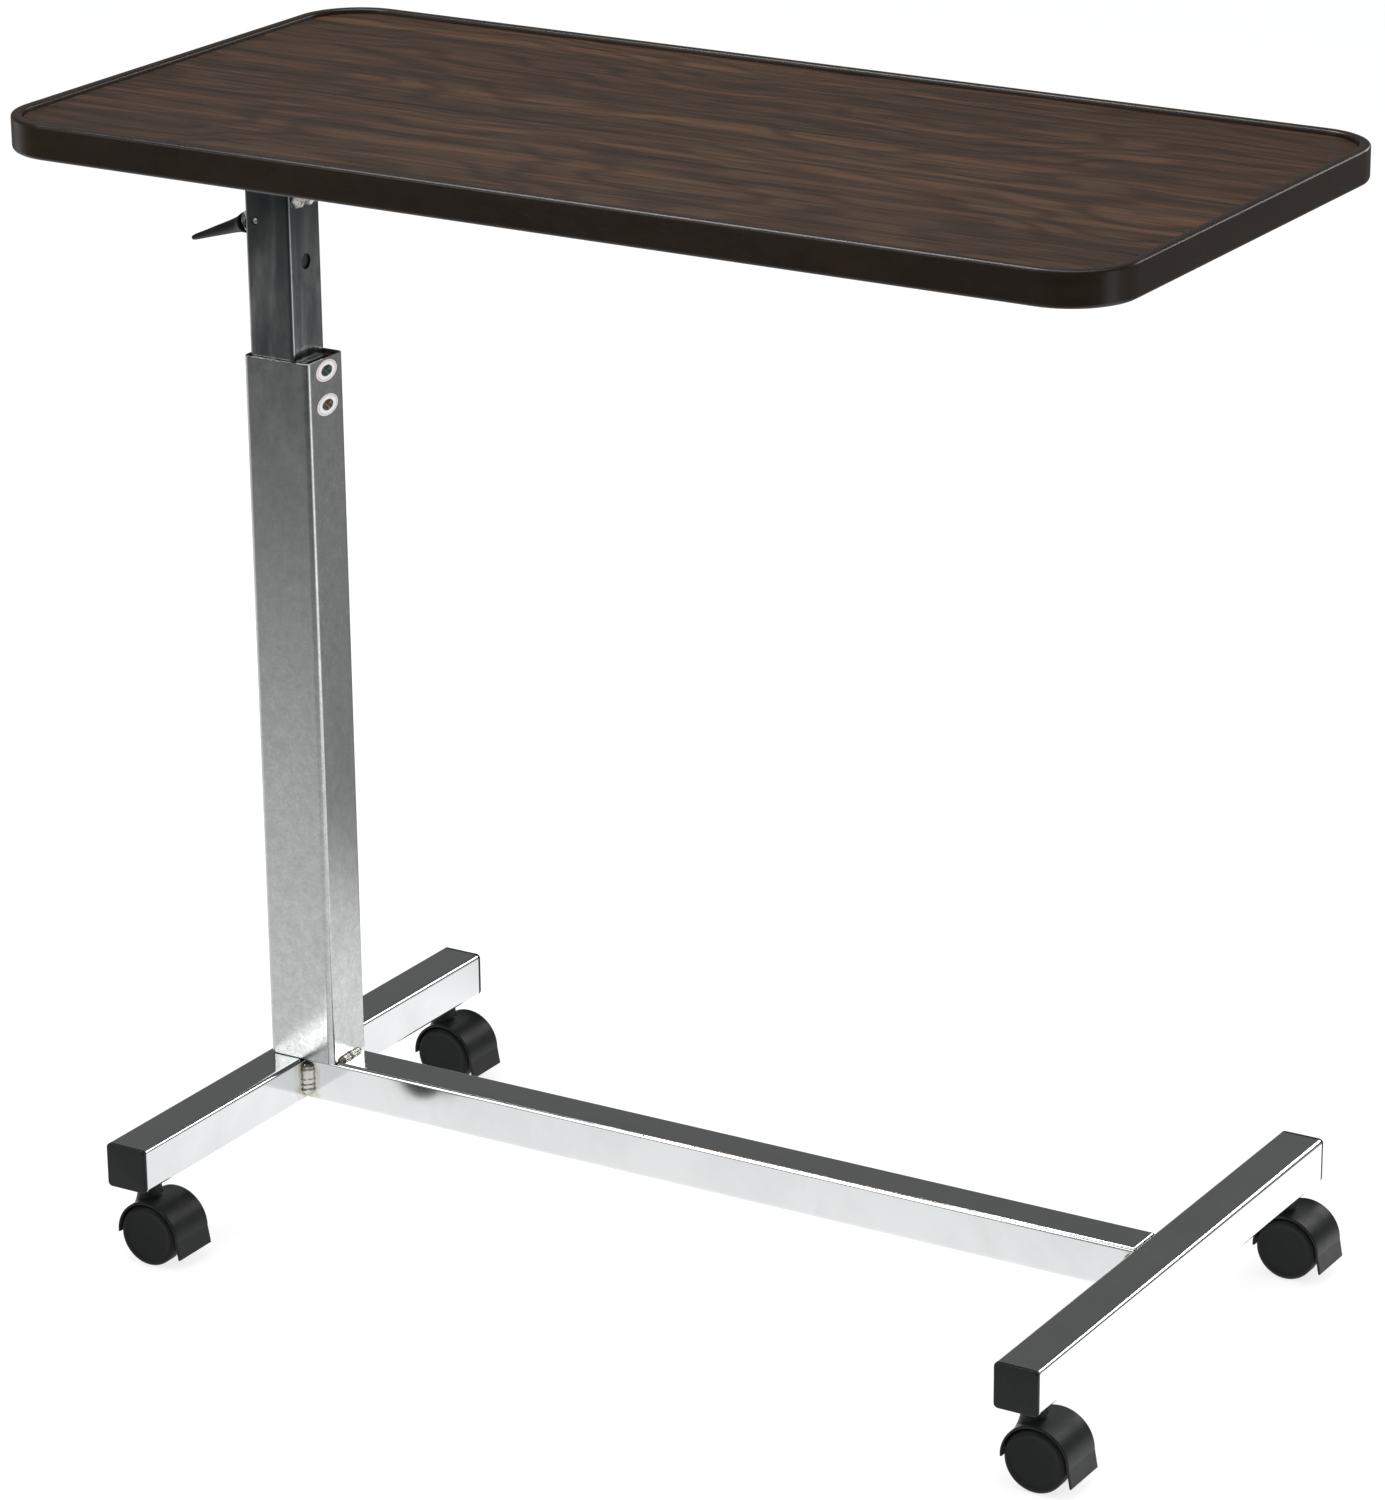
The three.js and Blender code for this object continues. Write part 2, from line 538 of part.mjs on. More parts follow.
place(lever, 'lever_arm', leverArm(), zincSteel);
placeOnLever('lever_grip', leverGrip(), blackPlastic, GRIP_START);
placeOnLever('lever_washer', cut(rod('z', 7, 1.2, 20), armRoom(6)), zincSteel, GRIP_START - 1);
place(lever, 'lever_pin', rod('y', LEVER_PIN_RADIUS, MAST_WIDTH_Y - 0.4), zincSteel);

// ---- Beam, cross straps and screws under the top -------------------------------------------

const beamLength = BEAM_END_X - BEAM_START_X;
const beam = tube('x', BEAM_SECTION, BEAM_SECTION, BASE_TUBE_RADIUS, BASE_WALL, beamLength);
place(table, 'support_beam', beam, chromedTube, (BEAM_START_X + BEAM_END_X) / 2, 0, beamMiddleZ);

const beamBore = BEAM_SECTION - 2 * BASE_WALL - 2 * GAP;
for (const [name, x, outward] of [['beam_cap_column', BEAM_START_X, -1], ['beam_cap_far', BEAM_END_X, 1]]) {
  const head = squareBar('x', BEAM_SECTION, BEAM_SECTION, BASE_TUBE_RADIUS, 2)
    .translate(outward * (1 + GAP), 0, 0);
  const insert = squareBar('x', beamBore, beamBore, 1.5, 12).translate(-outward * 5, 0, 0);
  place(table, name, join(head, insert), blackPlastic, x, 0, beamMiddleZ);
}

const mastWeld = weldBead(MAST_WIDTH_Y - 2 * MAST_RADIUS, 9, 1, -1).rotateX(Math.PI / 2);
place(table, 'mast_weld', mastWeld, weldSteel, MAST_X + MAST_LENGTH_X / 2 + GAP, 0, MAST_TOP);

const screwSpots = STRAP_XS.flatMap((x) => [-SCREW_OFFSET_Y, SCREW_OFFSET_Y].map((y) => [x, y]));

function crossStrap() {
  const holes = [-SCREW_OFFSET_Y, SCREW_OFFSET_Y].map((y) => (
    rod('z', SCREW_SHAFT_RADIUS + 0.5, 2 * STRAP_HEIGHT, 8).translate(0, y, 0)));
  return cut(tube('y', STRAP_HEIGHT, STRAP_WIDTH, 1.5, STRAP_WALL, STRAP_LENGTH), ...holes);
}

for (const [index, name] of ['column_cross_strap', 'far_cross_strap'].entries()) {
  place(table, name, crossStrap(), chromedTube, STRAP_XS[index], 0, strapMiddleZ);
}

const screwNames = ['column_front_screw', 'column_rear_screw', 'far_front_screw', 'far_rear_screw'];
const strapBottom = strapMiddleZ - STRAP_HEIGHT / 2;
for (const [index, name] of screwNames.entries()) {
  const shaftTop = boardBottom + SCREW_REACH - strapBottom;
  const profile = [
    [0, -GAP - SCREW_HEAD_HEIGHT], [3.2, -GAP - SCREW_HEAD_HEIGHT], [SCREW_HEAD_RADIUS, -GAP - 1],
    [SCREW_HEAD_RADIUS, -GAP], [SCREW_SHAFT_RADIUS, -GAP], [SCREW_SHAFT_RADIUS, shaftTop - 4], [0, shaftTop],
  ];
  place(table, name, turned(profile, 10), zincSteel, ...screwSpots[index], strapBottom);
}

// ---- Top: board, laminate sheet and edge moulding ------------------------------------------

const TOP_CURVE = { curveSegments: 4 };

// A slab with the top's outline, pulled in by inset on every side, between two heights.
function topSlab(inset, low, high, options = {}) {
  const slab = squareBar('z', TOP_LENGTH - 2 * inset, TOP_WIDTH - 2 * inset, TOP_CORNER_RADIUS - inset,
    high - low, { ...TOP_CURVE, ...options });
  return slab.translate(0, 0, (low + high) / 2);
}

function edgeMoulding() {
  const round = 2;
  const blank = topSlab(round, mouldingBottom + round, TOP_HEIGHT - round, {
    bevelEnabled: true, bevelThickness: round, bevelSize: round, bevelSegments: 2,
  });
  const boardPocket = topSlab(MOULDING_THICKNESS, mouldingBottom - EPSILON, boardTop + GAP);
  const opening = topSlab(LIP_WIDTH, mouldingBottom - EPSILON, TOP_HEIGHT + EPSILON);
  return cut(blank, boardPocket, opening);
}

function topBoard() {
  const pilotHoles = screwSpots.map(([x, y]) => (
    rod('z', SCREW_SHAFT_RADIUS + GAP, 2 * SCREW_REACH + 2, 8).translate(x, y, boardBottom)));
  return cut(topSlab(MOULDING_THICKNESS + GAP, boardBottom, boardTop), ...pilotHoles);
}

place(table, 'top_board', topBoard(), particleBoard);
place(table, 'laminate_sheet', topSlab(LIP_WIDTH + GAP, boardTop + 0.05, laminateTop), walnutLaminate);
place(table, 'edge_moulding', edgeMoulding(), brownVinyl);

export default table;
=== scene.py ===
# An overbed table, finished piece by piece in the order in which it is put together: the chromed
# base, its casters, the column and its gas spring, the mast, the lever, the beam and the top.
import json
import math

import bmesh
import bpy
from mathutils import Matrix, Vector, noise

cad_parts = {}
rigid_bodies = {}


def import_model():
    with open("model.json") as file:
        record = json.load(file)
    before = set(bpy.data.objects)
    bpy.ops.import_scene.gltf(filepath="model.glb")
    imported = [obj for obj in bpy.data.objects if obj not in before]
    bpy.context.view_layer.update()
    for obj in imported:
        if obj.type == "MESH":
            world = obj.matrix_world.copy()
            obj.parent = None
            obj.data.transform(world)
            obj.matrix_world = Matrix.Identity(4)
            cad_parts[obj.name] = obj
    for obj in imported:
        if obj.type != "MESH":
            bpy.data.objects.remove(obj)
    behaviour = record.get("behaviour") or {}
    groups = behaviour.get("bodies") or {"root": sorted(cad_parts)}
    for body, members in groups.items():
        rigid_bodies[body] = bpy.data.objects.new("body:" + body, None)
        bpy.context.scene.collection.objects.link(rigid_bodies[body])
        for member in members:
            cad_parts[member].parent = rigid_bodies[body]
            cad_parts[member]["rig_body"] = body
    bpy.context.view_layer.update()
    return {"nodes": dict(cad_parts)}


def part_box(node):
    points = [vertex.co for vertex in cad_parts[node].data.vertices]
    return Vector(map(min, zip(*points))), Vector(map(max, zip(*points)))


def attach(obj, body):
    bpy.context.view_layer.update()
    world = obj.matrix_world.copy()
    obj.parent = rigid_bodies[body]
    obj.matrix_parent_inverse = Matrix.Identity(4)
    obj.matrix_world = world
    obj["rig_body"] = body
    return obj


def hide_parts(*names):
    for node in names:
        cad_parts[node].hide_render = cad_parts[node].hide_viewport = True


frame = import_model()
nodes = frame["nodes"]
MM = 0.001

# ---- Studio: camera, floor, sky and lamps ------------------------------------------------------
# The table stands on a wide white sweep. Two softboxes hang over it and others stand in front,
# beside and behind. What the bare metal mirrors is set apart from what is seen directly: a pattern
# of light drawn on the sweep, and a dim room in place of the white wall.
CAMERA_PLACE = Vector((1.717, -2.818, 1.527))
CAMERA_AIM = Vector((0.1105, -0.001, 0.2683))
CAMERA_LENS = 134.2
CAMERA_SHIFT = 0.1
FLOOR_RADIUS = 14.0
FLOOR_DROP = 0.4 * MM
SWEEP_DEPTH = 2.0                    # the white sheet's shading is drawn from -2 m to 2 m

camera_data = bpy.data.cameras.new("camera")
camera_data.lens = CAMERA_LENS
camera_data.shift_x = -CAMERA_SHIFT
camera_data.shift_y = CAMERA_SHIFT
camera = bpy.data.objects.new("camera", camera_data)
camera.location = CAMERA_PLACE
camera.rotation_euler = (CAMERA_AIM - CAMERA_PLACE).to_track_quat("-Z", "Y").to_euler()
bpy.context.scene.collection.objects.link(camera)
bpy.context.scene.camera = camera
bpy.context.scene.view_settings.view_transform = "Standard"


def add_node(tree, kind, inputs=None, **settings):
    """Adds a shader node, sets its settings, and sets or links its inputs by name or number."""
    made = tree.nodes.new("ShaderNode" + kind)
    for key, value in settings.items():
        setattr(made, key, value)
    for key, value in (inputs or {}).items():
        if isinstance(value, bpy.types.NodeSocket):
            tree.links.new(value, made.inputs[key])
        else:
            made.inputs[key].default_value = value
    return made


def grey(value):
    return (value, value, value, 1)


def ramp(tree, factor, *stops):
    """A colour ramp through (place, colour or grey value) stops."""
    made = add_node(tree, "ValToRGB", {"Fac": factor})
    elements = made.color_ramp.elements
    while len(elements) < len(stops):
        elements.new(0.5)
    for element, (place, colour) in zip(elements, stops):
        element.position = place
        element.color = colour if isinstance(colour, tuple) else grey(colour)
    return made.outputs["Color"]


def spread(tree, value, from_low, from_high, to_low, to_high):
    """Carries a value from one range to another, without going outside it."""
    limits = {"From Min": from_low, "From Max": from_high, "To Min": to_low, "To Max": to_high}
    return add_node(tree, "MapRange", {"Value": value, **limits}).outputs["Result"]


def math_node(tree, operation, *values):
    return add_node(tree, "Math", dict(enumerate(values)), operation=operation).outputs[0]


def cut_up(tree, vector):
    """The X, Y and Z of a vector."""
    return add_node(tree, "SeparateXYZ", {"Vector": vector}).outputs


# Seen directly, the sweep is plain and pale. Seen in a mirroring surface it shows light drawn on
# it, which no lamp casts: brightest under the table and darker towards the front and the rear.
floor_material = bpy.data.materials.new("white_sweep")
floor_material.use_nodes = True
tree = floor_material.node_tree
tree.nodes.remove(tree.nodes["Principled BSDF"])
spot = cut_up(tree, add_node(tree, "NewGeometry").outputs["Position"])
near_to_far = spread(tree, spot["Y"], -SWEEP_DEPTH, SWEEP_DEPTH, 0, 1)
sheet_light = ramp(
    tree, near_to_far, (0.03, 0.08), (0.15, 0.15), (0.24, 0.35), (0.33, 0.62), (0.42, 0.86),
    (0.5, 1.06), (0.57, 1.12), (0.6, 0.85), (0.635, 0.3), (0.8, 0.19), (1, 0.14))
front_right = spread(tree, spot["X"], 0.2, 0.6, 1.0, 0.35)
rear_right = spread(tree, spot["X"], 0.25, 0.45, 1.0, 1.5)
rearward = spread(tree, spot["Y"], -0.6, -0.35, 0, 1)
right_light = add_node(tree, "Mix", {"Factor": rearward, "A": front_right, "B": rear_right}).outputs[0]
mirrored = add_node(tree, "Emission", {"Color": sheet_light, "Strength": right_light})
matt = add_node(tree, "BsdfDiffuse", {"Color": grey(0.32)})
lit = add_node(tree, "Emission", {"Color": grey(1), "Strength": 0.78})
seen = add_node(tree, "AddShader", {0: matt.outputs[0], 1: lit.outputs[0]})
glossy_ray = add_node(tree, "LightPath").outputs["Is Glossy Ray"]
both = add_node(tree, "MixShader", {0: glossy_ray, 1: seen.outputs[0], 2: mirrored.outputs[0]})
tree.links.new(both.outputs[0], tree.nodes["Material Output"].inputs["Surface"])

floor_mesh = bpy.data.meshes.new("floor")
floor_form = bmesh.new()
bmesh.ops.create_circle(floor_form, cap_ends=True, segments=96, radius=FLOOR_RADIUS)
floor_form.to_mesh(floor_mesh)
floor_form.free()
floor_mesh.materials.append(floor_material)
floor = bpy.data.objects.new("floor", floor_mesh)
floor.location.z = -FLOOR_DROP
bpy.context.scene.collection.objects.link(floor)

# White where it is seen directly, dim where it is mirrored, and an even light on matt surfaces.
sky = bpy.data.worlds.new("studio_sky")
sky.use_nodes = True
tree = sky.node_tree
height = cut_up(tree, add_node(tree, "TexCoord").outputs["Generated"])["Z"]
room = ramp(tree, height, (0.0, 0.26), (0.12, 0.17), (0.3, 0.125), (0.6, 0.1), (1.0, 0.12))
dim_room = add_node(tree, "Background", {"Color": room, "Strength": 1.0})
open_light = add_node(tree, "Background", {"Color": (0.97, 0.985, 1.0, 1), "Strength": 0.62})
white_wall = add_node(tree, "Background", {"Color": grey(1), "Strength": 1.0})
ray = add_node(tree, "LightPath").outputs
soft = add_node(tree, "MixShader", {
    0: ray["Is Glossy Ray"], 1: open_light.outputs[0], 2: dim_room.outputs[0]})
shown = add_node(tree, "MixShader", {
    0: ray["Is Camera Ray"], 1: soft.outputs[0], 2: white_wall.outputs[0]})
tree.links.new(shown.outputs[0], tree.nodes["World Output"].inputs["Surface"])
bpy.context.scene.world = sky


def hang_softbox(name, place, aim, width, depth, power):
    data = bpy.data.lights.new(name, "AREA")
    data.shape = "RECTANGLE"
    data.size = width
    data.size_y = depth
    data.energy = power
    lamp = bpy.data.objects.new(name, data)
    lamp.location = place
    lamp.rotation_euler = (Vector(aim) - Vector(place)).to_track_quat("-Z", "Y").to_euler()
    bpy.context.scene.collection.objects.link(lamp)
    return lamp


hang_softbox("overhead_softbox", (0, -0.1, 2.5), (0, 0, 0), 2.4, 1.5, 34)
hang_softbox("front_softbox", (-1.5, -2.4, 1.5), (0, 0, 0.4), 1.0, 1.5, 16)
side_lamp = hang_softbox("side_softbox", (2.6, 0.4, 1.3), (0, 0, 0.4), 0.8, 1.4, 10)
side_lamp.visible_glossy = False
hang_softbox("rear_softbox", (1.0, 2.2, 1.3), (0.2, 0, 0.3), 1.4, 0.5, 14)
edge_lamp = hang_softbox("edge_softbox", (-0.9, 0.05, 2.45), (0, -0.19, 0.745), 2.0, 0.5, 40)
edge_lamp.visible_diffuse = False

# ---- Base tubes: two feet and the spine between them -------------------------------------------
# Square steel tube with drawn, rounded edges, sawn to length, welded into an H and then chromed.
# The plating mirrors its surroundings, with faint waves, wiping marks and heat tint at the welds.
TUBE_EDGE = 3 * MM                   # outer radius of the drawn tube's edges
TUBE_WALL = 1.5 * MM
SAW_EDGE = 0.3 * MM                  # the filed edge of a sawn end
ROUND_STEPS = 8                      # facets in a quarter turn of a small edge
CHROME = (0.79, 0.805, 0.81, 1)
STEM_HOLE = 4.3 * MM
WELD_CLOSING = 0.5 * MM              # what the spine gains in length where it meets the feet

AXIS_PLACES = {
    "x": lambda across, up, along: Vector((along, across, up)),
    "y": lambda across, up, along: Vector((across, along, up)),
    "z": lambda across, up, along: Vector((across, up, along)),
}


def rounded_rectangle(width, height, radius, steps=ROUND_STEPS):
    """Outline of a rectangle with round corners, centred on the origin."""
    points = []
    for corner, (right, upper) in enumerate(((1, 1), (-1, 1), (-1, -1), (1, -1))):
        for step in range(steps + 1):
            angle = math.pi / 2 * (corner + step / steps)
            across = right * (width / 2 - radius) + radius * math.cos(angle)
            up = upper * (height / 2 - radius) + radius * math.sin(angle)
            points.append((across, up))
    return points


def skin_rings(rings, loop_back=False):
    """A closed mesh over rings that all have as many points. The last ring joins the first, or
    flat faces close both ends."""
    form = bmesh.new()
    rows = [[form.verts.new(point) for point in ring] for ring in rings]
    pairs = list(zip(rows, rows[1:]))
    if loop_back:
        pairs.append((rows[-1], rows[0]))
    else:
        form.faces.new(rows[0])
        form.faces.new(rows[-1])
    for lower, upper in pairs:
        for index, corner in enumerate(lower):
            after = (index + 1) % len(lower)
            form.faces.new((corner, lower[after], upper[after], upper[index]))
    bmesh.ops.recalc_face_normals(form, faces=form.faces)
    mesh = bpy.data.meshes.new("form")
    form.to_mesh(mesh)
    form.free()
    return mesh


def lofted_bar(axis, centre, sections):
    """A solid through (width, height, radius, distance along) sections."""
    place = AXIS_PLACES[axis]
    rings = [
        [Vector(centre) + place(across, up, along)
         for across, up in rounded_rectangle(width, height, radius)]
        for width, height, radius, along in sections]
    return skin_rings(rings)


def square_tube(axis, centre, width, height, radius, wall, length):
    """A hollow tube with filed ends."""
    place = AXIS_PLACES[axis]
    half = length / 2
    lower_edge = [(wall - SAW_EDGE, -half), (SAW_EDGE, -half), (0, SAW_EDGE - half)]
    upper_edge = [(0, half - SAW_EDGE), (SAW_EDGE, half), (wall - SAW_EDGE, half)]
    bore = [(wall, half - SAW_EDGE), (wall, SAW_EDGE - half)]
    rings = []
    for inset, along in [*lower_edge, *upper_edge, *bore]:
        corner = max(radius - inset, SAW_EDGE)
        outline = rounded_rectangle(width - 2 * inset, height - 2 * inset, corner)
        rings.append([Vector(centre) + place(across, up, along) for across, up in outline])
    return skin_rings(rings, loop_back=True)


def turned_form(profile, axis="z", centre=(0, 0, 0), segments=48, squash=1.0, loop_back=False):
    """Turns a profile of (radius, distance along) points about an axis."""
    place = AXIS_PLACES[axis]
    rings = []
    for radius, along in profile:
        turn = [2 * math.pi * step / segments for step in range(segments)]
        ring = [place(radius * math.cos(a), radius * squash * math.sin(a), along) for a in turn]
        rings.append([Vector(centre) + point for point in ring])
    return skin_rings(rings, loop_back)


def rod(axis, centre, radius, length, segments=48):
    return turned_form([(radius, -length / 2), (radius, length / 2)], axis, centre, segments)


def modified(mesh, *changes):
    """The mesh after a list of (kind, settings) modifiers."""
    blank = bpy.data.objects.new("blank", mesh)
    bpy.context.scene.collection.objects.link(blank)
    for kind, settings in changes:
        modifier = blank.modifiers.new(kind.lower(), kind)
        for key, value in settings.items():
            setattr(modifier, key, value)
    shaped = blank.evaluated_get(bpy.context.evaluated_depsgraph_get())
    result = bpy.data.meshes.new_from_object(shaped)
    bpy.data.objects.remove(blank)
    return result


def drilled(mesh, *cutters):
    """The mesh with each cutter taken out of it."""
    tools = [bpy.data.objects.new("cutter", cutter) for cutter in cutters]
    for tool in tools:
        bpy.context.scene.collection.objects.link(tool)
    settings = {"operation": "DIFFERENCE", "solver": "EXACT"}
    result = modified(mesh, *[("BOOLEAN", {"object": tool, **settings}) for tool in tools])
    for tool in tools:
        bpy.data.objects.remove(tool)
    return result


def stand_in(node, mesh, material, place=(0, 0, 0), even=True):
    """Puts a finished mesh in the place of a node and on its body."""
    piece = bpy.data.objects.new(node + "_finished", mesh)
    bpy.context.scene.collection.objects.link(piece)
    piece.location = place
    mesh.shade_smooth()
    mesh.materials.clear()
    mesh.materials.append(material)
    if even:
        mesh.set_sharp_from_angle(angle=math.radians(38))
        piece.modifiers.new("even_faces", "WEIGHTED_NORMAL").keep_sharp = True
    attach(piece, nodes[node]["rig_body"])
    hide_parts(node)
    return piece


def start_material(name, **constants):
    """A new material, its node tree, its shader and its object coordinates."""
    material = bpy.data.materials.new(name)
    material.use_nodes = True
    tree = material.node_tree
    shader = tree.nodes["Principled BSDF"]
    for key, value in constants.items():
        shader.inputs[key.replace("_", " ")].default_value = value
    place = add_node(tree, "TexCoord").outputs["Object"]
    return material, tree, shader, place


def connect(tree, shader, **sockets):
    for key, socket in sockets.items():
        tree.links.new(socket, shader.inputs[key.replace("_", " ")])


def start_effect(name, inputs, outputs):
    """A node group with named inputs and outputs. A vector input is named Place or Scale."""
    group = bpy.data.node_groups.new(name, "ShaderNodeTree")
    for title, start in inputs.items():
        kind = "NodeSocketVector" if isinstance(start, tuple) else "NodeSocketFloat"
        group.interface.new_socket(title, in_out="INPUT", socket_type=kind).default_value = start
    for title in outputs:
        group.interface.new_socket(title, in_out="OUTPUT", socket_type="NodeSocketFloat")
    entry = group.nodes.new("NodeGroupInput")
    leave = group.nodes.new("NodeGroupOutput")
    return group, entry.outputs, leave.inputs


def stretched_noise(tree, place, scale, detail=4.0, roughness=0.6, distortion=0.0):
    """Noise over a place that is first stretched by a scale vector."""
    stretched = add_node(tree, "VectorMath", {0: place, 1: scale}, operation="MULTIPLY").outputs[0]
    settings = {"Vector": stretched, "Scale": 1.0, "Detail": detail, "Roughness": roughness}
    return add_node(tree, "TexNoise", {**settings, "Distortion": distortion}).outputs["Fac"]


def use_effect(tree, group, **inputs):
    return add_node(tree, "Group", inputs, node_tree=group).outputs


def bump(tree, height, strength, distance, before=None):
    inputs = {"Height": height, "Strength": strength, "Distance": distance}
    if before is not None:
        inputs["Normal"] = before
    return add_node(tree, "Bump", inputs).outputs["Normal"]


FIRST_COLOUR, SECOND_COLOUR, MIXED_COLOUR = 6, 7, 2      # the colour sockets of a mix


def blend_colours(tree, factor, low, high, mode="MIX"):
    inputs = {"Factor": factor, FIRST_COLOUR: low, SECOND_COLOUR: high}
    return add_node(tree, "Mix", inputs, data_type="RGBA", blend_type=mode).outputs[MIXED_COLOUR]


# Patches that a cloth or a hand leaves: broad, soft-edged, with a few firmer spots inside them.
smudges, entry, leave = start_effect(
    "smudges", {"Place": (0.0, 0.0, 0.0), "Scale": (14.0, 14.0, 14.0)}, ["Mask"])
broad = stretched_noise(smudges, entry["Place"], entry["Scale"], 5.0, 0.62, 0.4)
smudges.links.new(spread(smudges, broad, 0.42, 0.72, 0, 1), leave["Mask"])

# Hairline scratches: thin slices out of a stretched noise.
hairlines, entry, leave = start_effect(
    "hairlines", {"Place": (0.0, 0.0, 0.0), "Scale": (300.0, 300.0, 20.0)}, ["Mask"])
lines = stretched_noise(hairlines, entry["Place"], entry["Scale"], 2.0, 0.5, 0.1)
offset = math_node(hairlines, "ABSOLUTE", math_node(hairlines, "SUBTRACT", lines, 0.5))
sparse = stretched_noise(hairlines, entry["Place"], (9.0, 9.0, 9.0), 2.0, 0.5)
thin = spread(hairlines, offset, 0.0, 0.006, 1, 0)
some = math_node(hairlines, "MULTIPLY", thin, spread(hairlines, sparse, 0.52, 0.6, 0, 1))
hairlines.links.new(some, leave["Mask"])

# Heat tint: how close a point lies to the upright weld lines at either end of the spine. It fades
# out below the tubes' upper faces, which the torch did not reach.
weld_heat, entry, leave = start_effect(
    "weld_heat", {"Place": (0.0, 0.0, 0.0), "Reach": 0.012}, ["Mask"])
spine_low, spine_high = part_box("spine_tube")
where = cut_up(weld_heat, entry["Place"])
off_middle = math_node(weld_heat, "ABSOLUTE", where["Y"])
beside = math_node(weld_heat, "SUBTRACT", off_middle, spine_high.y)
reaches = []
for end_x in (spine_low.x, spine_high.x):
    along = math_node(weld_heat, "SUBTRACT", where["X"], end_x)
    squares = [math_node(weld_heat, "MULTIPLY", side, side) for side in (along, beside)]
    reaches.append(math_node(weld_heat, "SQRT", math_node(weld_heat, "ADD", *squares)))
nearest = math_node(weld_heat, "MINIMUM", *reaches)
ragged = stretched_noise(weld_heat, entry["Place"], (160.0, 160.0, 90.0), 4.0)
uneven = math_node(
    weld_heat, "ADD", math_node(weld_heat, "DIVIDE", nearest, entry["Reach"]),
    spread(weld_heat, ragged, 0.3, 0.7, -0.35, 0.35))
under_top = spread(weld_heat, where["Z"], spine_high.z - 4 * MM, spine_high.z - 1.5 * MM, 1, 0)
tinted = math_node(weld_heat, "MULTIPLY", spread(weld_heat, uneven, 0.0, 1.0, 1, 0), under_top)
weld_heat.links.new(tinted, leave["Mask"])


def chromed_finish():
    material, tree, shader, place = start_material("chrome_plate", Metallic=1.0)
    wiped = use_effect(tree, smudges, Place=place, Scale=(16.0, 16.0, 16.0))["Mask"]
    scratch = use_effect(tree, hairlines, Place=place, Scale=(30.0, 420.0, 420.0))["Mask"]
    heat = use_effect(tree, weld_heat, Place=place, Reach=0.010)["Mask"]
    plate = blend_colours(tree, wiped, CHROME, (0.72, 0.735, 0.74, 1))
    straw, brown = (0.86, 0.82, 0.7, 1), (0.58, 0.51, 0.41, 1)
    tint = ramp(tree, heat, (0.0, (1, 1, 1, 1)), (0.45, straw), (1.0, brown))
    dull = math_node(
        tree, "MAXIMUM", spread(tree, wiped, 0, 1, 0.10, 0.15), spread(tree, heat, 0.1, 1, 0, 0.34))
    roughness = math_node(tree, "MAXIMUM", dull, spread(tree, scratch, 0, 1, 0, 0.3))
    waves = stretched_noise(tree, place, (26.0, 26.0, 26.0), 1.0)
    normal = bump(tree, waves, 0.3, 0.00035)
    fine = stretched_noise(tree, place, (900.0, 900.0, 900.0), 3.0)
    normal = bump(tree, fine, 0.05, 0.0001, normal)
    base = blend_colours(tree, 1.0, plate, tint, "MULTIPLY")
    connect(tree, shader, Base_Color=base, Roughness=roughness, Normal=normal)
    return material


chrome_plate = chromed_finish()


def middle(node):
    low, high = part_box(node)
    return (low + high) / 2


def size(node):
    low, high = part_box(node)
    return high - low


def over(node, z):
    """The point at a height on the upright line through the middle of a node."""
    centre = middle(node)
    return Vector((centre.x, centre.y, z))


for foot in ("column", "far"):
    node = foot + "_foot_tube"
    extent = size(node)
    blank = square_tube("y", middle(node), extent.x, extent.z, TUBE_EDGE, TUBE_WALL, extent.y)
    stems = [
        rod("z", over(f"{foot}_{side}_caster_stem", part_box(node)[0].z), STEM_HOLE, 4 * TUBE_WALL)
        for side in ("front", "rear")]
    stand_in(node, drilled(blank, *stems), chrome_plate)

extent = size("spine_tube")
spine_length = extent.x + WELD_CLOSING
spine = square_tube(
    "x", middle("spine_tube"), extent.y, extent.z, TUBE_EDGE, TUBE_WALL, spine_length)
stand_in("spine_tube", spine, chrome_plate)

# ---- Weld beads in the inside corners of the base ----------------------------------------------
# Each is one pass of fillet weld laid by hand, so it is a row of overlapping ripples of uneven
# width. It was plated with the tubes, and is bright with brownish grey patches.
RIPPLE_PITCH = 3.6 * MM
RIPPLE_HEIGHT = 0.02                 # against the bead's leg
RIPPLE_LEAN = 0.06 * MM
BEAD_WANDER = 0.2                    # unevenness of the width, against the leg
BEAD_ROOT = 0.4 * MM                 # how deep the bead sits in its corner
BEAD_END_GAP = 0.4 * MM
BEAD_STEPS_PER_RIPPLE = 6
BEAD_ARC_STEPS = 10
BASE_BEAD_LEG = 5.6 * MM


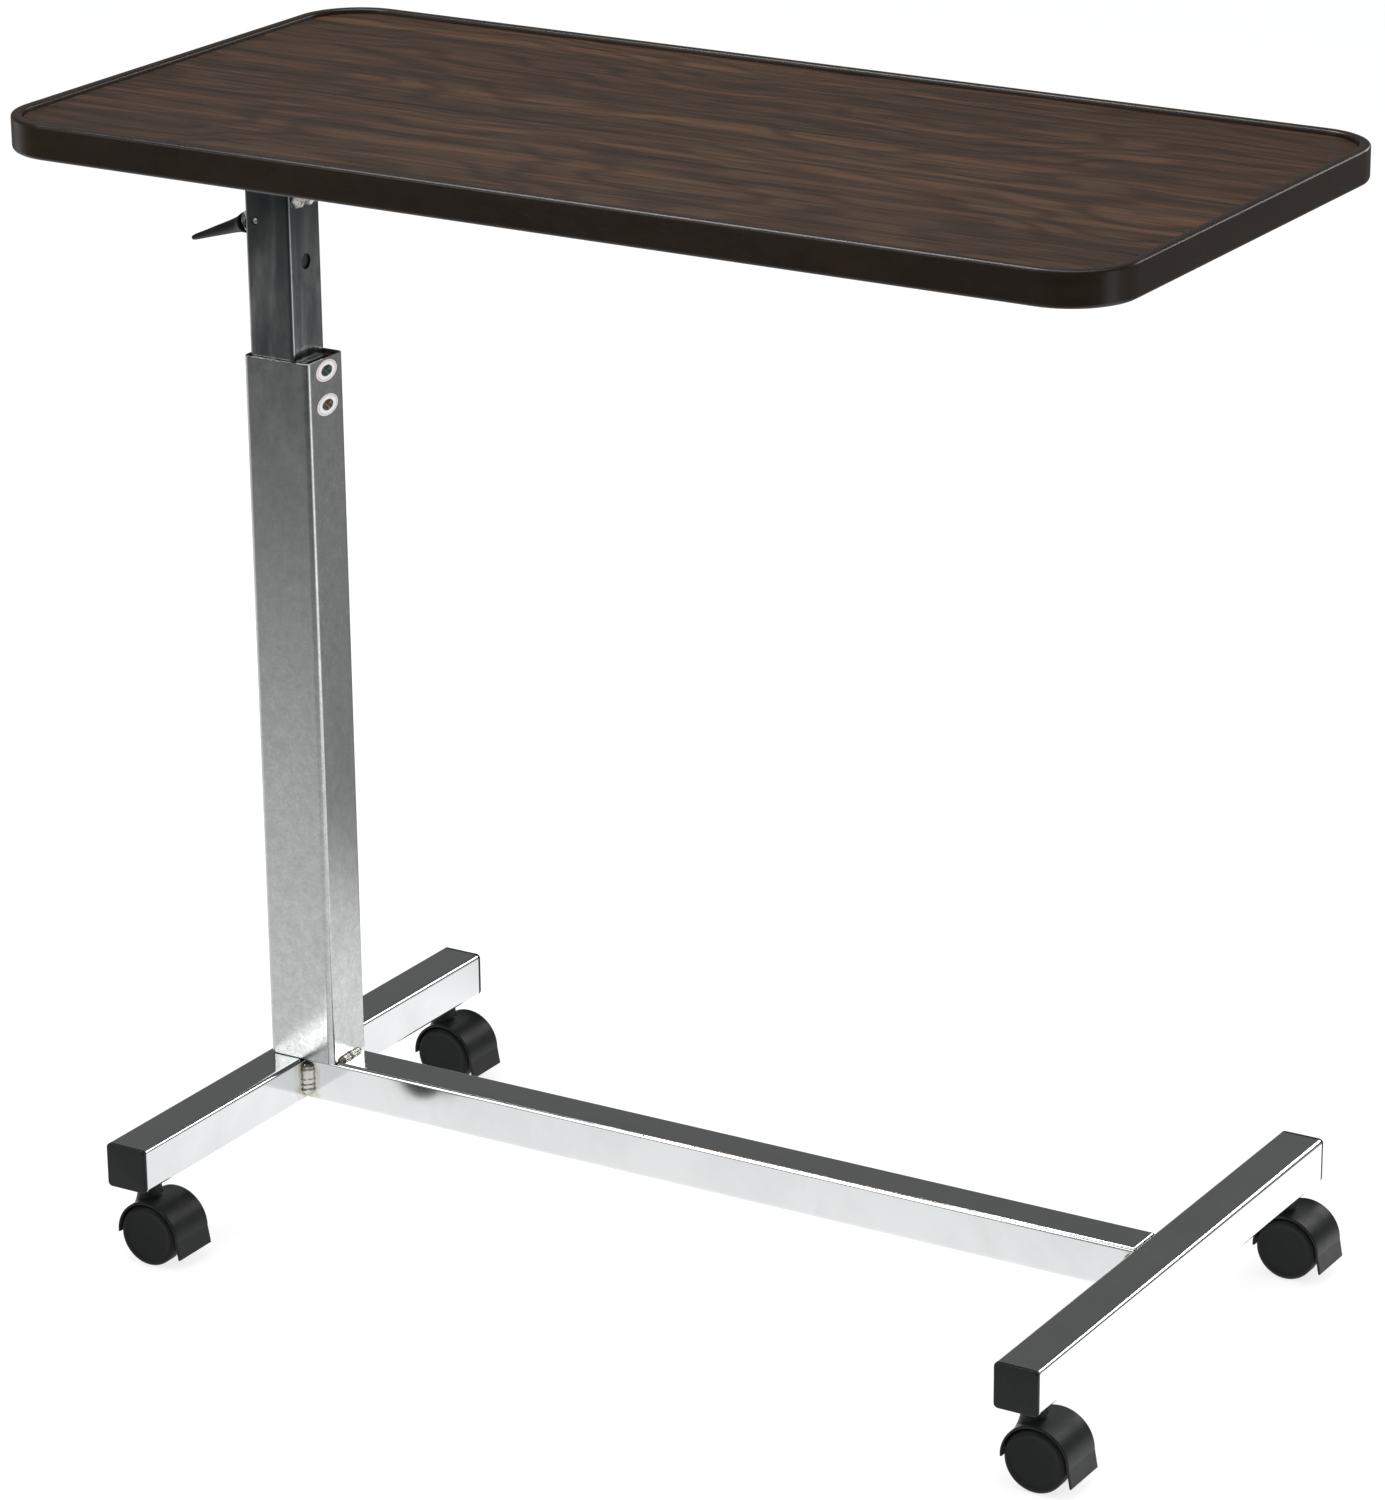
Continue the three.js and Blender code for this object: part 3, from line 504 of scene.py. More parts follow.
def weld_bead(corner, run, first_wall, second_wall, leg, seed):
    """A bead along the line from corner to corner + run, in the angle between two directions."""
    length = run.length
    steps = int(length / RIPPLE_PITCH * BEAD_STEPS_PER_RIPPLE)
    rings = []
    for step in range(steps + 1):
        share = step / steps
        ripple = math.cos(2 * math.pi * share * length / RIPPLE_PITCH)
        wobble = noise.noise(Vector((share * 9.0, seed, 0.0)))
        crest = 1.0 + RIPPLE_HEIGHT * ripple + BEAD_WANDER * wobble
        ends = min(1.0, 4.0 * min(share, 1 - share) + 0.45)
        reach = leg * crest * ends
        middle_point = corner + run * share
        ring = [middle_point - (first_wall + second_wall) * BEAD_ROOT]
        for arc in range(BEAD_ARC_STEPS + 1):
            angle = math.pi / 2 * arc / BEAD_ARC_STEPS
            bulge = 0.74 + 0.26 * abs(math.cos(2 * angle))
            lean = RIPPLE_LEAN * math.sin(2 * angle) * ripple
            out = first_wall * math.cos(angle) + second_wall * math.sin(angle)
            ring.append(middle_point + out * reach * bulge + run.normalized() * lean)
        rings.append(ring)
    return skin_rings(rings)


def weld_finish():
    material, tree, shader, place = start_material("plated_weld", Metallic=1.0)
    soot = use_effect(tree, smudges, Place=place, Scale=(150.0, 150.0, 110.0))["Mask"]
    colour = blend_colours(tree, soot, (0.6, 0.595, 0.565, 1), (0.4, 0.38, 0.33, 1))
    grit = stretched_noise(tree, place, (1500.0, 1500.0, 1500.0), 4.0)
    roughness = spread(tree, soot, 0, 1, 0.26, 0.42)
    normal = bump(tree, grit, 0.08, 0.0003)
    connect(tree, shader, Base_Color=colour, Roughness=roughness, Normal=normal)
    return material


plated_weld = weld_finish()

for foot, inward in (("column", 1), ("far", -1)):
    for side, sign in (("front", -1), ("rear", 1)):
        node = f"{foot}_foot_weld_{side}"
        low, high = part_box(node)
        wall_x = low.x if inward > 0 else high.x
        wall_y = high.y if sign < 0 else low.y
        corner = Vector((wall_x, wall_y, low.z + BEAD_END_GAP))
        run = Vector((0, 0, size(node).z - 2 * BEAD_END_GAP))
        walls = (Vector((inward, 0, 0)), Vector((0, sign, 0)))
        bead = weld_bead(corner, run, *walls, BASE_BEAD_LEG, len(node) + sign)
        stand_in(node, bead, plated_weld, even=False)

# ---- End caps of the feet ----------------------------------------------------------------------
# Injection-moulded black plastic plugs, pressed into the open tube ends. The head has rounded
# edges and a slightly crowned face; ribs inside the tube hold it.
CAP_EDGE = 1.2 * MM
CAP_CROWN = 0.4 * MM
CAP_INSERT = 12 * MM
CAP_GROOVES = 3                      # grooves between the ribs of the insert
CAP_GROOVE_START = 2.5 * MM
CAP_GROOVE_PITCH = 3 * MM
CAP_GROOVE_DEPTH = 0.5 * MM
PLUG_SLACK = 0.6 * MM                # play of an insert in its tube
PLUG_CORNER = 1.8 * MM
GROOVE_CORNER = 1.4 * MM
PLASTIC_BLACK = (0.0085, 0.0095, 0.0092, 1)

# The fine texture of a moulded skin, with the slow unevenness of its gloss.
moulded_skin, entry, leave = start_effect(
    "moulded_skin", {"Place": (0.0, 0.0, 0.0), "Grain": 2600.0}, ["Height", "Patch"])
pores = add_node(moulded_skin, "TexNoise", {
    "Vector": entry["Place"], "Scale": entry["Grain"], "Detail": 2.0})
patch = add_node(moulded_skin, "TexNoise", {
    "Vector": entry["Place"], "Scale": 70.0, "Detail": 3.0, "Distortion": 0.6})
moulded_skin.links.new(pores.outputs["Fac"], leave["Height"])
moulded_skin.links.new(patch.outputs["Fac"], leave["Patch"])


def lighter(colour, factor):
    return tuple(factor * channel for channel in colour[:3]) + (1,)


def black_plastic_finish(name, colour, low_gloss, high_gloss, grain, sheen):
    material, tree, shader, place = start_material(name, Specular_IOR_Level=sheen)
    skin = use_effect(tree, moulded_skin, Place=place, Grain=grain)
    scuff = use_effect(tree, hairlines, Place=place, Scale=(160.0, 260.0, 90.0))["Mask"]
    patch = spread(tree, skin["Patch"], 0.4, 0.7, 0, 1)
    shade = blend_colours(tree, patch, colour, lighter(colour, 1.35))
    base = blend_colours(tree, spread(tree, scuff, 0, 1, 0, 0.45), shade, lighter(colour, 4.5))
    roughness = spread(tree, skin["Patch"], 0.3, 0.7, low_gloss, high_gloss)
    normal = bump(tree, skin["Height"], 0.16, 0.0001)
    connect(tree, shader, Base_Color=base, Roughness=roughness, Normal=normal)
    return material


cap_plastic = black_plastic_finish("cap_plastic", PLASTIC_BLACK, 0.34, 0.46, 2600.0, 0.2)


def end_cap(node, sign):
    low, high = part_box(node)
    section = high.x - low.x
    head = high.y - low.y - CAP_INSERT
    plug = section - 2 * TUBE_WALL - PLUG_SLACK
    groove = plug - 2 * CAP_GROOVE_DEPTH
    root = middle(node)
    root.y = (high.y if sign > 0 else low.y) - sign * head
    sections = [
        (plug - 1.6 * MM, 1.2 * MM, -CAP_INSERT), (plug, PLUG_CORNER, 0.8 * MM - CAP_INSERT)]
    for number in range(CAP_GROOVES):
        start = CAP_GROOVE_START + number * CAP_GROOVE_PITCH - CAP_INSERT
        sections += [
            (plug, PLUG_CORNER, start), (groove, GROOVE_CORNER, start + 0.3 * MM),
            (groove, GROOVE_CORNER, start + 1.5 * MM), (plug, PLUG_CORNER, start + 1.8 * MM)]
    sections += [
        (plug, PLUG_CORNER, 0.05 * MM), (section - 0.4 * MM, TUBE_EDGE, 0.05 * MM),
        (section, TUBE_EDGE, 0.25 * MM)]
    rim = head - CAP_CROWN
    for step in range(ROUND_STEPS + 1):
        angle = math.pi / 2 * step / ROUND_STEPS
        inset = CAP_EDGE * (1 - math.cos(angle))
        drop = CAP_EDGE * (1 - math.sin(angle))
        sections.append((section - 2 * inset, TUBE_EDGE - 0.6 * inset, rim - drop))
    for share in (0.8, 0.6, 0.4, 0.2, 0.06):
        face = (section - 2 * CAP_EDGE) * share
        sections.append((face, (TUBE_EDGE - 0.6 * CAP_EDGE) * share, rim + CAP_CROWN * (1 - share ** 2)))
    return lofted_bar("y", root, [(wide, wide, corner, sign * along) for wide, corner, along in sections])


for foot in ("column", "far"):
    for side, sign in (("front", -1), ("rear", 1)):
        node = f"{foot}_{side}_end_cap"
        stand_in(node, end_cap(node, sign), cap_plastic)

# ---- Casters: stem, hood, axle and two wheels each ---------------------------------------------
# Twin-wheel furniture casters moulded in black nylon. The hood turns on a steel stem that is
# bolted through the foot, and arches over two plain discs on one short steel axle.
HOOD_RADIUS = 23.2 * MM
HOOD_WALL = 1.6 * MM
HOOD_WEB = 11 * MM
HOOD_TAIL = Vector((25.4, 0, -12)) * MM     # lower rear corner of the hood from the axle
HOOD_LIP_Z = -1.5 * MM                      # lower end of the arch over the wheels' front
HOOD_STEPS = 48
TAIL_STEPS = 10
HOOD_VOXEL = 0.42 * MM
HOOD_STRIP_EDGE = 0.75 * MM
NECK_FOOT_RADIUS = 13 * MM
NECK_TOP_RADIUS = 7.6 * MM
NECK_FOOT_Z = 10 * MM                       # over the axle
NECK_STEPS = 10
WHEEL_ROOM = 21.6 * MM
WHEEL_RADIUS = 20.5 * MM
WHEEL_WIDTH = 11.5 * MM
WHEEL_EDGE = 2.4 * MM
WHEEL_EDGE_STEPS = 6
WHEEL_BORE = 3.1 * MM
WHEEL_FACE = [                              # radius and depth below the rim, in millimetres
    (0.6, 1.1), (5.0, 1.0), (14.0, 0.65), (15.9, 0.45), (16.5, 0.15), (17.7, 0.0)]
WHEEL_PLASTIC = (0.0068, 0.0075, 0.0075, 1)
STEM_RADIUS = 4 * MM
FLANGE_RADIUS = 8 * MM
NUT_RADIUS = 6.5 * MM
AXLE_RADIUS = 3 * MM

hood_width = size("column_front_caster_hood").y
neck_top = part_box("column_front_caster_hood")[1].z
axle_place = middle("column_front_caster_axle") - over("column_front_caster_stem", 0)


def hood_line():
    """The middle of the hood's wall, seen from the side, as (point, outward direction) pairs: up
    the straight tail, over the wheels and a little way down in front of them."""
    mid_radius = HOOD_RADIUS - HOOD_WALL / 2
    tail = HOOD_TAIL - Vector((HOOD_WALL / 2, 0, 0))
    start = Vector((mid_radius, 0, 0))
    slope = (start - tail).normalized()
    tail_out = Vector((slope.z, 0, -slope.x))
    line = [(tail.lerp(start, step / TAIL_STEPS), tail_out) for step in range(TAIL_STEPS)]
    for step in range(HOOD_STEPS + 1):
        angle = math.pi * step / HOOD_STEPS
        out = Vector((math.cos(angle), 0, math.sin(angle)))
        line.append((out * mid_radius, out))
    line.append((Vector((-mid_radius, 0, HOOD_LIP_Z)), Vector((-1, 0, 0))))
    return line


def fender_form():
    """The arch over both wheels: a strip of rounded section carried along the hood's line."""
    strip = rounded_rectangle(hood_width, HOOD_WALL, HOOD_STRIP_EDGE, 4)
    rings = [
        [axle_place + point + out * up + Vector((0, across, 0)) for across, up in strip]
        for point, out in hood_line()]
    return skin_rings(rings)


def web_form():
    """The plate between the wheels, which carries the axle."""
    outline = [point for point, _ in hood_line()]
    return skin_rings([
        [axle_place + point + Vector((0, across, 0)) for point in outline]
        for across in (-HOOD_WEB / 2, HOOD_WEB / 2)])


def neck_form():
    """The flared neck about the swivel axis, clear of both wheels."""
    foot_z = axle_place.z + NECK_FOOT_Z
    rise = neck_top - foot_z
    flare = []
    for step in range(NECK_STEPS + 1):
        share = step / NECK_STEPS
        spare = (NECK_FOOT_RADIUS - NECK_TOP_RADIUS) * (1 - share) ** 2.2
        flare.append((NECK_TOP_RADIUS + spare, foot_z + share * rise))
    room_width = 40 * MM
    beside = Vector((0, (HOOD_WEB + room_width) / 2, 0))
    room = [rod("y", axle_place + sign * beside, WHEEL_ROOM, room_width, 64) for sign in (-1, 1)]
    return drilled(turned_form(flare, segments=64), *room)


def joined(*meshes):
    form = bmesh.new()
    for mesh in meshes:
        form.from_mesh(mesh)
    whole = bpy.data.meshes.new("form")
    form.to_mesh(whole)
    form.free()
    return whole


hood_mesh = modified(
    joined(fender_form(), web_form(), neck_form()),
    ("REMESH", {"mode": "VOXEL", "voxel_size": HOOD_VOXEL}),
    ("SMOOTH", {"factor": 0.5, "iterations": 6}))
hood_plastic = black_plastic_finish("hood_plastic", PLASTIC_BLACK, 0.34, 0.46, 2300.0, 0.2)


def wheel_form(sign):
    """One disc about the Y axis: a plain face inside a low rim, and a rounded tread."""
    half = WHEEL_WIDTH / 2
    face = [(radius * MM, half - depth * MM) for radius, depth in WHEEL_FACE]
    shoulder = []
    for step in range(WHEEL_EDGE_STEPS + 1):
        angle = math.pi / 2 * step / WHEEL_EDGE_STEPS
        radius = WHEEL_RADIUS - WHEEL_EDGE * (1 - math.sin(angle))
        shoulder.append((radius, half - WHEEL_EDGE * (1 - math.cos(angle))))
    back = [
        (WHEEL_RADIUS, 1.4 * MM - half), (WHEEL_RADIUS - 0.5 * MM, 0.4 * MM - half),
        (WHEEL_RADIUS - 1.5 * MM, -half)]
    bore = [(WHEEL_BORE, -half), (WHEEL_BORE, half - 3 * MM), (0.6 * MM, half - 3 * MM)]
    profile = [(radius, sign * along) for radius, along in [*face, *shoulder, *back, *bore]]
    return turned_form(profile, "y", segments=96)


def wheel_finish():
    material, tree, shader, place = start_material("wheel_nylon", Specular_IOR_Level=0.13)
    skin = use_effect(tree, moulded_skin, Place=place, Grain=2400.0)
    where = cut_up(tree, place)
    flat = add_node(tree, "CombineXYZ", {"X": where["X"], "Z": where["Z"]}).outputs[0]
    radius = add_node(tree, "VectorMath", {0: flat}, operation="LENGTH").outputs["Value"]
    turning = math_node(tree, "SINE", math_node(tree, "MULTIPLY", radius, 16000.0))
    tread = spread(tree, radius, WHEEL_RADIUS - 0.8 * MM, WHEEL_RADIUS - 0.1 * MM, 0, 1)
    dirt = use_effect(tree, smudges, Place=place, Scale=(220.0, 220.0, 220.0))["Mask"]
    dusty = math_node(tree, "MULTIPLY", tread, spread(tree, dirt, 0, 1, 0.15, 0.75))
    base = blend_colours(tree, dusty, WHEEL_PLASTIC, (0.045, 0.043, 0.04, 1))
    moulded = spread(tree, skin["Patch"], 0.3, 0.7, 0.38, 0.48)
    roughness = math_node(tree, "MAXIMUM", moulded, spread(tree, tread, 0, 1, 0.0, 0.7))
    normal = bump(tree, turning, 0.05, 0.00005, bump(tree, skin["Height"], 0.14, 0.0001))
    connect(tree, shader, Base_Color=base, Roughness=roughness, Normal=normal)
    return material


def zinc_finish():
    material, tree, shader, place = start_material("zinc_plate", Metallic=1.0)
    cloud = use_effect(tree, smudges, Place=place, Scale=(300.0, 300.0, 300.0))["Mask"]
    base = blend_colours(tree, cloud, (0.6, 0.61, 0.6, 1), (0.42, 0.43, 0.41, 1))
    grit = stretched_noise(tree, place, (2200.0, 2200.0, 2200.0), 3.0)
    roughness = spread(tree, cloud, 0, 1, 0.26, 0.45)
    connect(tree, shader, Base_Color=base, Roughness=roughness, Normal=bump(tree, grit, 0.12, 0.0001))
    return material


wheel_nylon = wheel_finish()
zinc_plate = zinc_finish()
wheel_meshes = {"front": wheel_form(-1), "rear": wheel_form(1)}
stem_bottom, stem_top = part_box("column_front_caster_stem")
tube_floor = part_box("column_foot_tube")[0].z
flange_z = tube_floor - 1.3 * MM
flange_top = flange_z + 1 * MM
nut_z, nut_top = tube_floor + 1.8 * MM, tube_floor + 8 * MM
stem_profile = [
    (STEM_RADIUS - 0.8 * MM, stem_bottom.z), (STEM_RADIUS, stem_bottom.z + 0.8 * MM),
    (STEM_RADIUS, flange_z), (FLANGE_RADIUS, flange_z), (FLANGE_RADIUS, flange_top),
    (STEM_RADIUS, flange_top), (STEM_RADIUS, nut_z), (NUT_RADIUS, nut_z),
    (NUT_RADIUS, nut_top - 0.4 * MM), (NUT_RADIUS - 0.4 * MM, nut_top), (STEM_RADIUS, nut_top),
    (STEM_RADIUS, stem_top.z - 0.6 * MM), (STEM_RADIUS - 0.6 * MM, stem_top.z)]
stem_mesh = turned_form(stem_profile)
axle_end = size("column_front_caster_axle").y / 2
axle_bevel = 0.5 * MM
axle_profile = [
    (AXLE_RADIUS - axle_bevel, -axle_end), (AXLE_RADIUS, axle_bevel - axle_end),
    (AXLE_RADIUS, axle_end - axle_bevel), (AXLE_RADIUS - axle_bevel, axle_end)]
axle_mesh = turned_form(axle_profile, "y")

for foot in ("column", "far"):
    for side in ("front", "rear"):
        caster = f"{foot}_{side}_caster"
        place = over(caster + "_stem", 0)
        stand_in(caster + "_stem", stem_mesh, zinc_plate, place)
        stand_in(caster + "_hood", hood_mesh, hood_plastic, place, even=False)
        stand_in(caster + "_axle", axle_mesh, zinc_plate, place + axle_place)
        for wheel, mesh in wheel_meshes.items():
            node = f"{caster}_wheel_{wheel}"
            stand_in(node, mesh, wheel_nylon, middle(node))

# ---- Outer column, its weld, the guide in its mouth and two oval labels ------------------------
# A rectangular steel tube, electroplated to a satin grey that stays a little blotchy, with drawing
# lines along it. A nylon guide fills its mouth; two printed film ovals are stuck below the top.
COLUMN_EDGE = 4 * MM
COLUMN_WALL = 1.2 * MM
COLUMN_BEAD_LEG = 2.9 * MM
GUIDE_EDGE = 2.8 * MM
GUIDE_BEVEL = 0.5 * MM
GUIDE_MOUTH_EDGE = 3 * MM
GUIDE_PLAY = 0.6 * MM                # between the guide's bore and the mast
GUIDE_SLOT = (4 * MM, 24 * MM, 1.5 * MM)
GUIDE_SLOT_INSET = 4.9 * MM
LABEL_STEPS = 72
PLATED_STEEL = (0.66, 0.675, 0.665, 1)


def satin_finish():
    material, tree, shader, place = start_material("satin_plate", Metallic=1.0)
    blotch = use_effect(tree, smudges, Place=place, Scale=(34.0, 34.0, 22.0))["Mask"]
    flakes = add_node(tree, "TexVoronoi", {"Vector": place, "Scale": 620.0, "Randomness": 1.0})
    flake = cut_up(tree, flakes.outputs["Color"])["X"]
    drawn = stretched_noise(tree, place, (900.0, 900.0, 7.0), 3.0)
    mottle = stretched_noise(tree, place, (150.0, 150.0, 110.0), 5.0, 0.7)
    cloudy = spread(tree, mottle, 0.35, 0.7, 0, 1)
    plain = blend_colours(tree, cloudy, PLATED_STEEL, (0.5, 0.52, 0.51, 1))
    spotted = blend_colours(tree, spread(tree, flake, 0, 1, 0.0, 0.42), plain, (0.44, 0.455, 0.45, 1))
    base = blend_colours(tree, spread(tree, blotch, 0, 1, 0, 0.3), spotted, (0.5, 0.515, 0.51, 1))
    gloss = spread(tree, blotch, 0, 1, 0.2, 0.28)
    roughness = math_node(tree, "ADD", gloss, spread(tree, flake, 0, 1, -0.02, 0.03))
    normal = bump(tree, drawn, 0.1, 0.0001)
    normal = bump(tree, mottle, 0.07, 0.0003, normal)
    connect(tree, shader, Base_Color=base, Roughness=roughness, Normal=normal)
    return material


satin_plate = satin_finish()
extent = size("outer_column")
column = square_tube("z", middle("outer_column"), extent.x, extent.y, COLUMN_EDGE, COLUMN_WALL, extent.z)
stand_in("outer_column", column, satin_plate)

low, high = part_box("column_weld")
run = Vector((0, high.y - low.y, 0))
bead = weld_bead(low, run, Vector((1, 0, 0)), Vector((0, 0, 1)), COLUMN_BEAD_LEG, 5.0)
stand_in("column_weld", bead, plated_weld, even=False)


def nylon_finish():
    material, tree, shader, place = start_material("grey_nylon")
    skin = use_effect(tree, moulded_skin, Place=place, Grain=1800.0)
    rubbed = use_effect(tree, hairlines, Place=place, Scale=(500.0, 500.0, 20.0))["Mask"]
    patch = spread(tree, skin["Patch"], 0.3, 0.7, 0, 1)
    base = blend_colours(tree, patch, (0.016, 0.017, 0.018, 1), (0.027, 0.028, 0.029, 1))
    worn = blend_colours(tree, rubbed, base, (0.2, 0.2, 0.2, 1))
    connect(tree, shader, Base_Color=worn, Roughness=spread(tree, skin["Patch"], 0.3, 0.7, 0.42, 0.6),
            Normal=bump(tree, skin["Height"], 0.2, 0.0001))
    return material


grey_nylon = nylon_finish()


def guide_form():
    """A block that fills the column's mouth, bored for the mast and slotted on its free side."""
    low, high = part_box("column_guide")
    mast_low, mast_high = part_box("mast_tube")
    outer = high - low
    bore = (mast_high.x - mast_low.x + GUIDE_PLAY, mast_high.y - mast_low.y + GUIDE_PLAY)
    shift = middle("mast_tube").x - middle("column_guide").x
    bevelled = high.z - GUIDE_BEVEL
    profile = [
        (outer.x, outer.y, GUIDE_EDGE, 0, low.z), (outer.x, outer.y, GUIDE_EDGE, 0, bevelled),
        (outer.x - GUIDE_BEVEL, outer.y - GUIDE_BEVEL, GUIDE_EDGE - 0.4 * MM, 0, high.z),
        (bore[0] + GUIDE_BEVEL, bore[1] + GUIDE_BEVEL, GUIDE_MOUTH_EDGE, shift, high.z),
        (*bore, GUIDE_MOUTH_EDGE, shift, bevelled), (*bore, GUIDE_MOUTH_EDGE, shift, low.z)]
    rings = []
    for wide, deep, corner, off, z in profile:
        outline = rounded_rectangle(wide, deep, corner)
        centre_x = middle("column_guide").x + off
        rings.append([Vector((centre_x + across, up, z)) for across, up in outline])
    slot_centre = (high.x - GUIDE_SLOT_INSET, 0, middle("column_guide").z)
    slot_half = outer.z / 2 + 2 * MM
    slot = lofted_bar("z", slot_centre, [(*GUIDE_SLOT, -slot_half), (*GUIDE_SLOT, slot_half)])
    return drilled(skin_rings(rings, loop_back=True), slot)


stand_in("column_guide", guide_form(), grey_nylon)


def label_finish(name, centre_colour, speck_colour):
    """Printed film: a white oval with a thin coloured ring and a dark oval field."""
    material, tree, shader, place = start_material(name, Roughness=0.32)
    half = size("upper_label") / 2
    to_rim = (0.0, 1 / half.y, 1 / half.z)
    scaled = add_node(tree, "VectorMath", {0: place, 1: to_rim}, operation="MULTIPLY").outputs[0]
    out = add_node(tree, "VectorMath", {0: scaled}, operation="LENGTH").outputs["Value"]
    ink_edge = stretched_noise(tree, place, (1400.0, 1400.0, 1400.0), 2.0)
    soft_out = math_node(tree, "ADD", out, spread(tree, ink_edge, 0.3, 0.7, -0.02, 0.02))
    cells = stretched_noise(tree, place, (350.0, 420.0, 700.0), 3.0)
    field = blend_colours(tree, spread(tree, cells, 0.5, 0.64, 0, 1), centre_colour, speck_colour)
    white, ring = (0.88, 0.91, 0.93, 1), (0.74, 0.53, 0.55, 1)
    paper = ramp(tree, soft_out, (0.0, white), (0.8, white), (0.84, ring), (0.9, ring), (0.94, white))
    inside = spread(tree, soft_out, 0.5, 0.55, 1, 0)
    creases = stretched_noise(tree, place, (500.0, 500.0, 500.0), 2.0)
    print_colour = blend_colours(tree, inside, paper, field)
    connect(tree, shader, Base_Color=print_colour, Normal=bump(tree, creases, 0.05, 0.0001))
    return material


def label_form():
    """A thin oval film with a soft rim, about the X axis."""
    half = size("upper_label") / 2
    steps = [(0.985, -1), (1.0, -0.4), (1.0, 0.3), (0.985, 0.85), (0.93, 1), (0.5, 1), (0.05, 1)]
    turn = [2 * math.pi * step / LABEL_STEPS for step in range(LABEL_STEPS)]
    rings = []
    for share, rise in steps:
        wide, tall = share * half.y, share * half.z
        rings.append([Vector((rise * half.x, wide * math.cos(a), tall * math.sin(a))) for a in turn])
    return skin_rings(rings)


LABEL_INKS = {
    "upper_label": ((0.012, 0.022, 0.024, 1), (0.07, 0.16, 0.15, 1)),
    "lower_label": ((0.05, 0.028, 0.02, 1), (0.26, 0.2, 0.15, 1)),
}
for node, inks in LABEL_INKS.items():
    stand_in(node, label_form(), label_finish(node + "_print", *inks), middle(node))

# ---- Gas spring inside the column --------------------------------------------------------------
# A locking gas spring: painted cylinder on the column's floor, a gland, a ground rod and the
# release pin that stands out of it. The column and the mast hide all of it.
NO_TOP_SHADE = 9.0                        # a height over the whole table, above which steel would be darkened as painted shade


def painted_finish(name, colour):
    material, tree, shader, place = start_material(name)
    peel = stretched_noise(tree, place, (700.0, 700.0, 700.0), 2.0)
    cloud = use_effect(tree, smudges, Place=place, Scale=(60.0, 60.0, 60.0))["Mask"]
    scratch = use_effect(tree, hairlines, Place=place, Scale=(90.0, 500.0, 500.0))["Mask"]
    base = blend_colours(tree, spread(tree, cloud, 0, 1, 0, 0.6), colour, lighter(colour, 1.6))
    base = blend_colours(tree, spread(tree, scratch, 0, 1, 0, 0.6), base, (0.12, 0.12, 0.12, 1))
    roughness = spread(tree, cloud, 0, 1, 0.3, 0.44)
    connect(tree, shader, Base_Color=base, Roughness=roughness, Normal=bump(tree, peel, 0.2, 0.0003))
    return material


def steel_finish(
        name, dark, light, low_gloss, high_gloss, bore_centre=0.0, bore_width=0.0, shaded_from=NO_TOP_SHADE):
    """Bare drawn steel with upright smears and bluish patches. Inside a bore it is painted near black
    as painted shade, and above a height it is darkened as a painted shadow, like the top casts."""
    material, tree, shader, place = start_material(name, Metallic=1.0)
    smear = stretched_noise(tree, place, (60.0, 60.0, 9.0), 5.0, 0.6, 0.5)
    patch = use_effect(tree, smudges, Place=place, Scale=(42.0, 42.0, 26.0))["Mask"]
    drawn = stretched_noise(tree, place, (1300.0, 1300.0, 10.0), 3.0)
    scratch = use_effect(tree, hairlines, Place=place, Scale=(420.0, 420.0, 8.0))["Mask"]
    base = blend_colours(tree, spread(tree, smear, 0.35, 0.65, 0, 1), dark, light)
    base = blend_colours(tree, spread(tree, patch, 0, 1, 0, 0.75), base, lighter(dark, 0.55))
    where = cut_up(tree, place)
    # Painted shadow: above the given height the steel darkens towards the top, as in the top's shade.
    top_shade = spread(tree, where["Z"], shaded_from, shaded_from + 60 * MM, 0, 0.8)
    base = blend_colours(tree, top_shade, base, lighter(dark, 0.32))
    # Painted shade: inside the bore the steel is made near black, as the hollow's shade.
    off_x = math_node(tree, "ABSOLUTE", math_node(tree, "SUBTRACT", where["X"], bore_centre))
    off_y = math_node(tree, "ABSOLUTE", where["Y"])
    outward = math_node(tree, "MAXIMUM", off_x, off_y)
    bore_shade = spread(tree, outward, bore_width / 2, bore_width / 2 + 0.4 * MM, 1, 0)
    base = blend_colours(tree, bore_shade, base, (0.012, 0.012, 0.012, 1))
    gloss = spread(tree, smear, 0.3, 0.7, low_gloss, high_gloss)
    roughness = math_node(tree, "MAXIMUM", gloss, spread(tree, scratch, 0, 1, 0, 0.36))
    normal = bump(tree, drawn, 0.1, 0.0001)
    connect(tree, shader, Base_Color=base, Roughness=roughness, Normal=normal)
    return material


black_paint = painted_finish("black_paint", (0.014, 0.014, 0.015, 1))
ground_rod = steel_finish("ground_rod", (0.6, 0.6, 0.6, 1), (0.7, 0.7, 0.7, 1), 0.08, 0.16)


def coat(node, material):
    """Gives a node that keeps its own mesh its finish."""
    mesh = nodes[node].data
    mesh.materials.clear()
    mesh.materials.append(material)


coat("gas_spring_cylinder", black_paint)
coat("gas_spring_gland", zinc_plate)
coat("gas_spring_piston_rod", ground_rod)
coat("gas_spring_release_pin", zinc_plate)

# ---- Mast: inner column, its bottom glide, the rod block and the weld to the beam --------------
# Bare bright-drawn steel tube, darker than the column. It has a round stop hole on the free side,
# a slot for the lever behind it, and a fillet weld where it meets the beam.
MAST_EDGE = 3 * MM
STOP_HOLE_RADIUS = 5 * MM
STOP_HOLE_Z = 625.5 * MM
LEVER_SLOT_Z = 650 * MM
LEVER_SLOT = (11 * MM, 18 * MM, 2 * MM)
PIN_HOLE = 2.3 * MM
# From this height up to the beam the mast is darkened as painted shadow under the top.
MAST_SHADED_FROM = 605 * MM
MAST_BEAD_LEG = 9 * MM

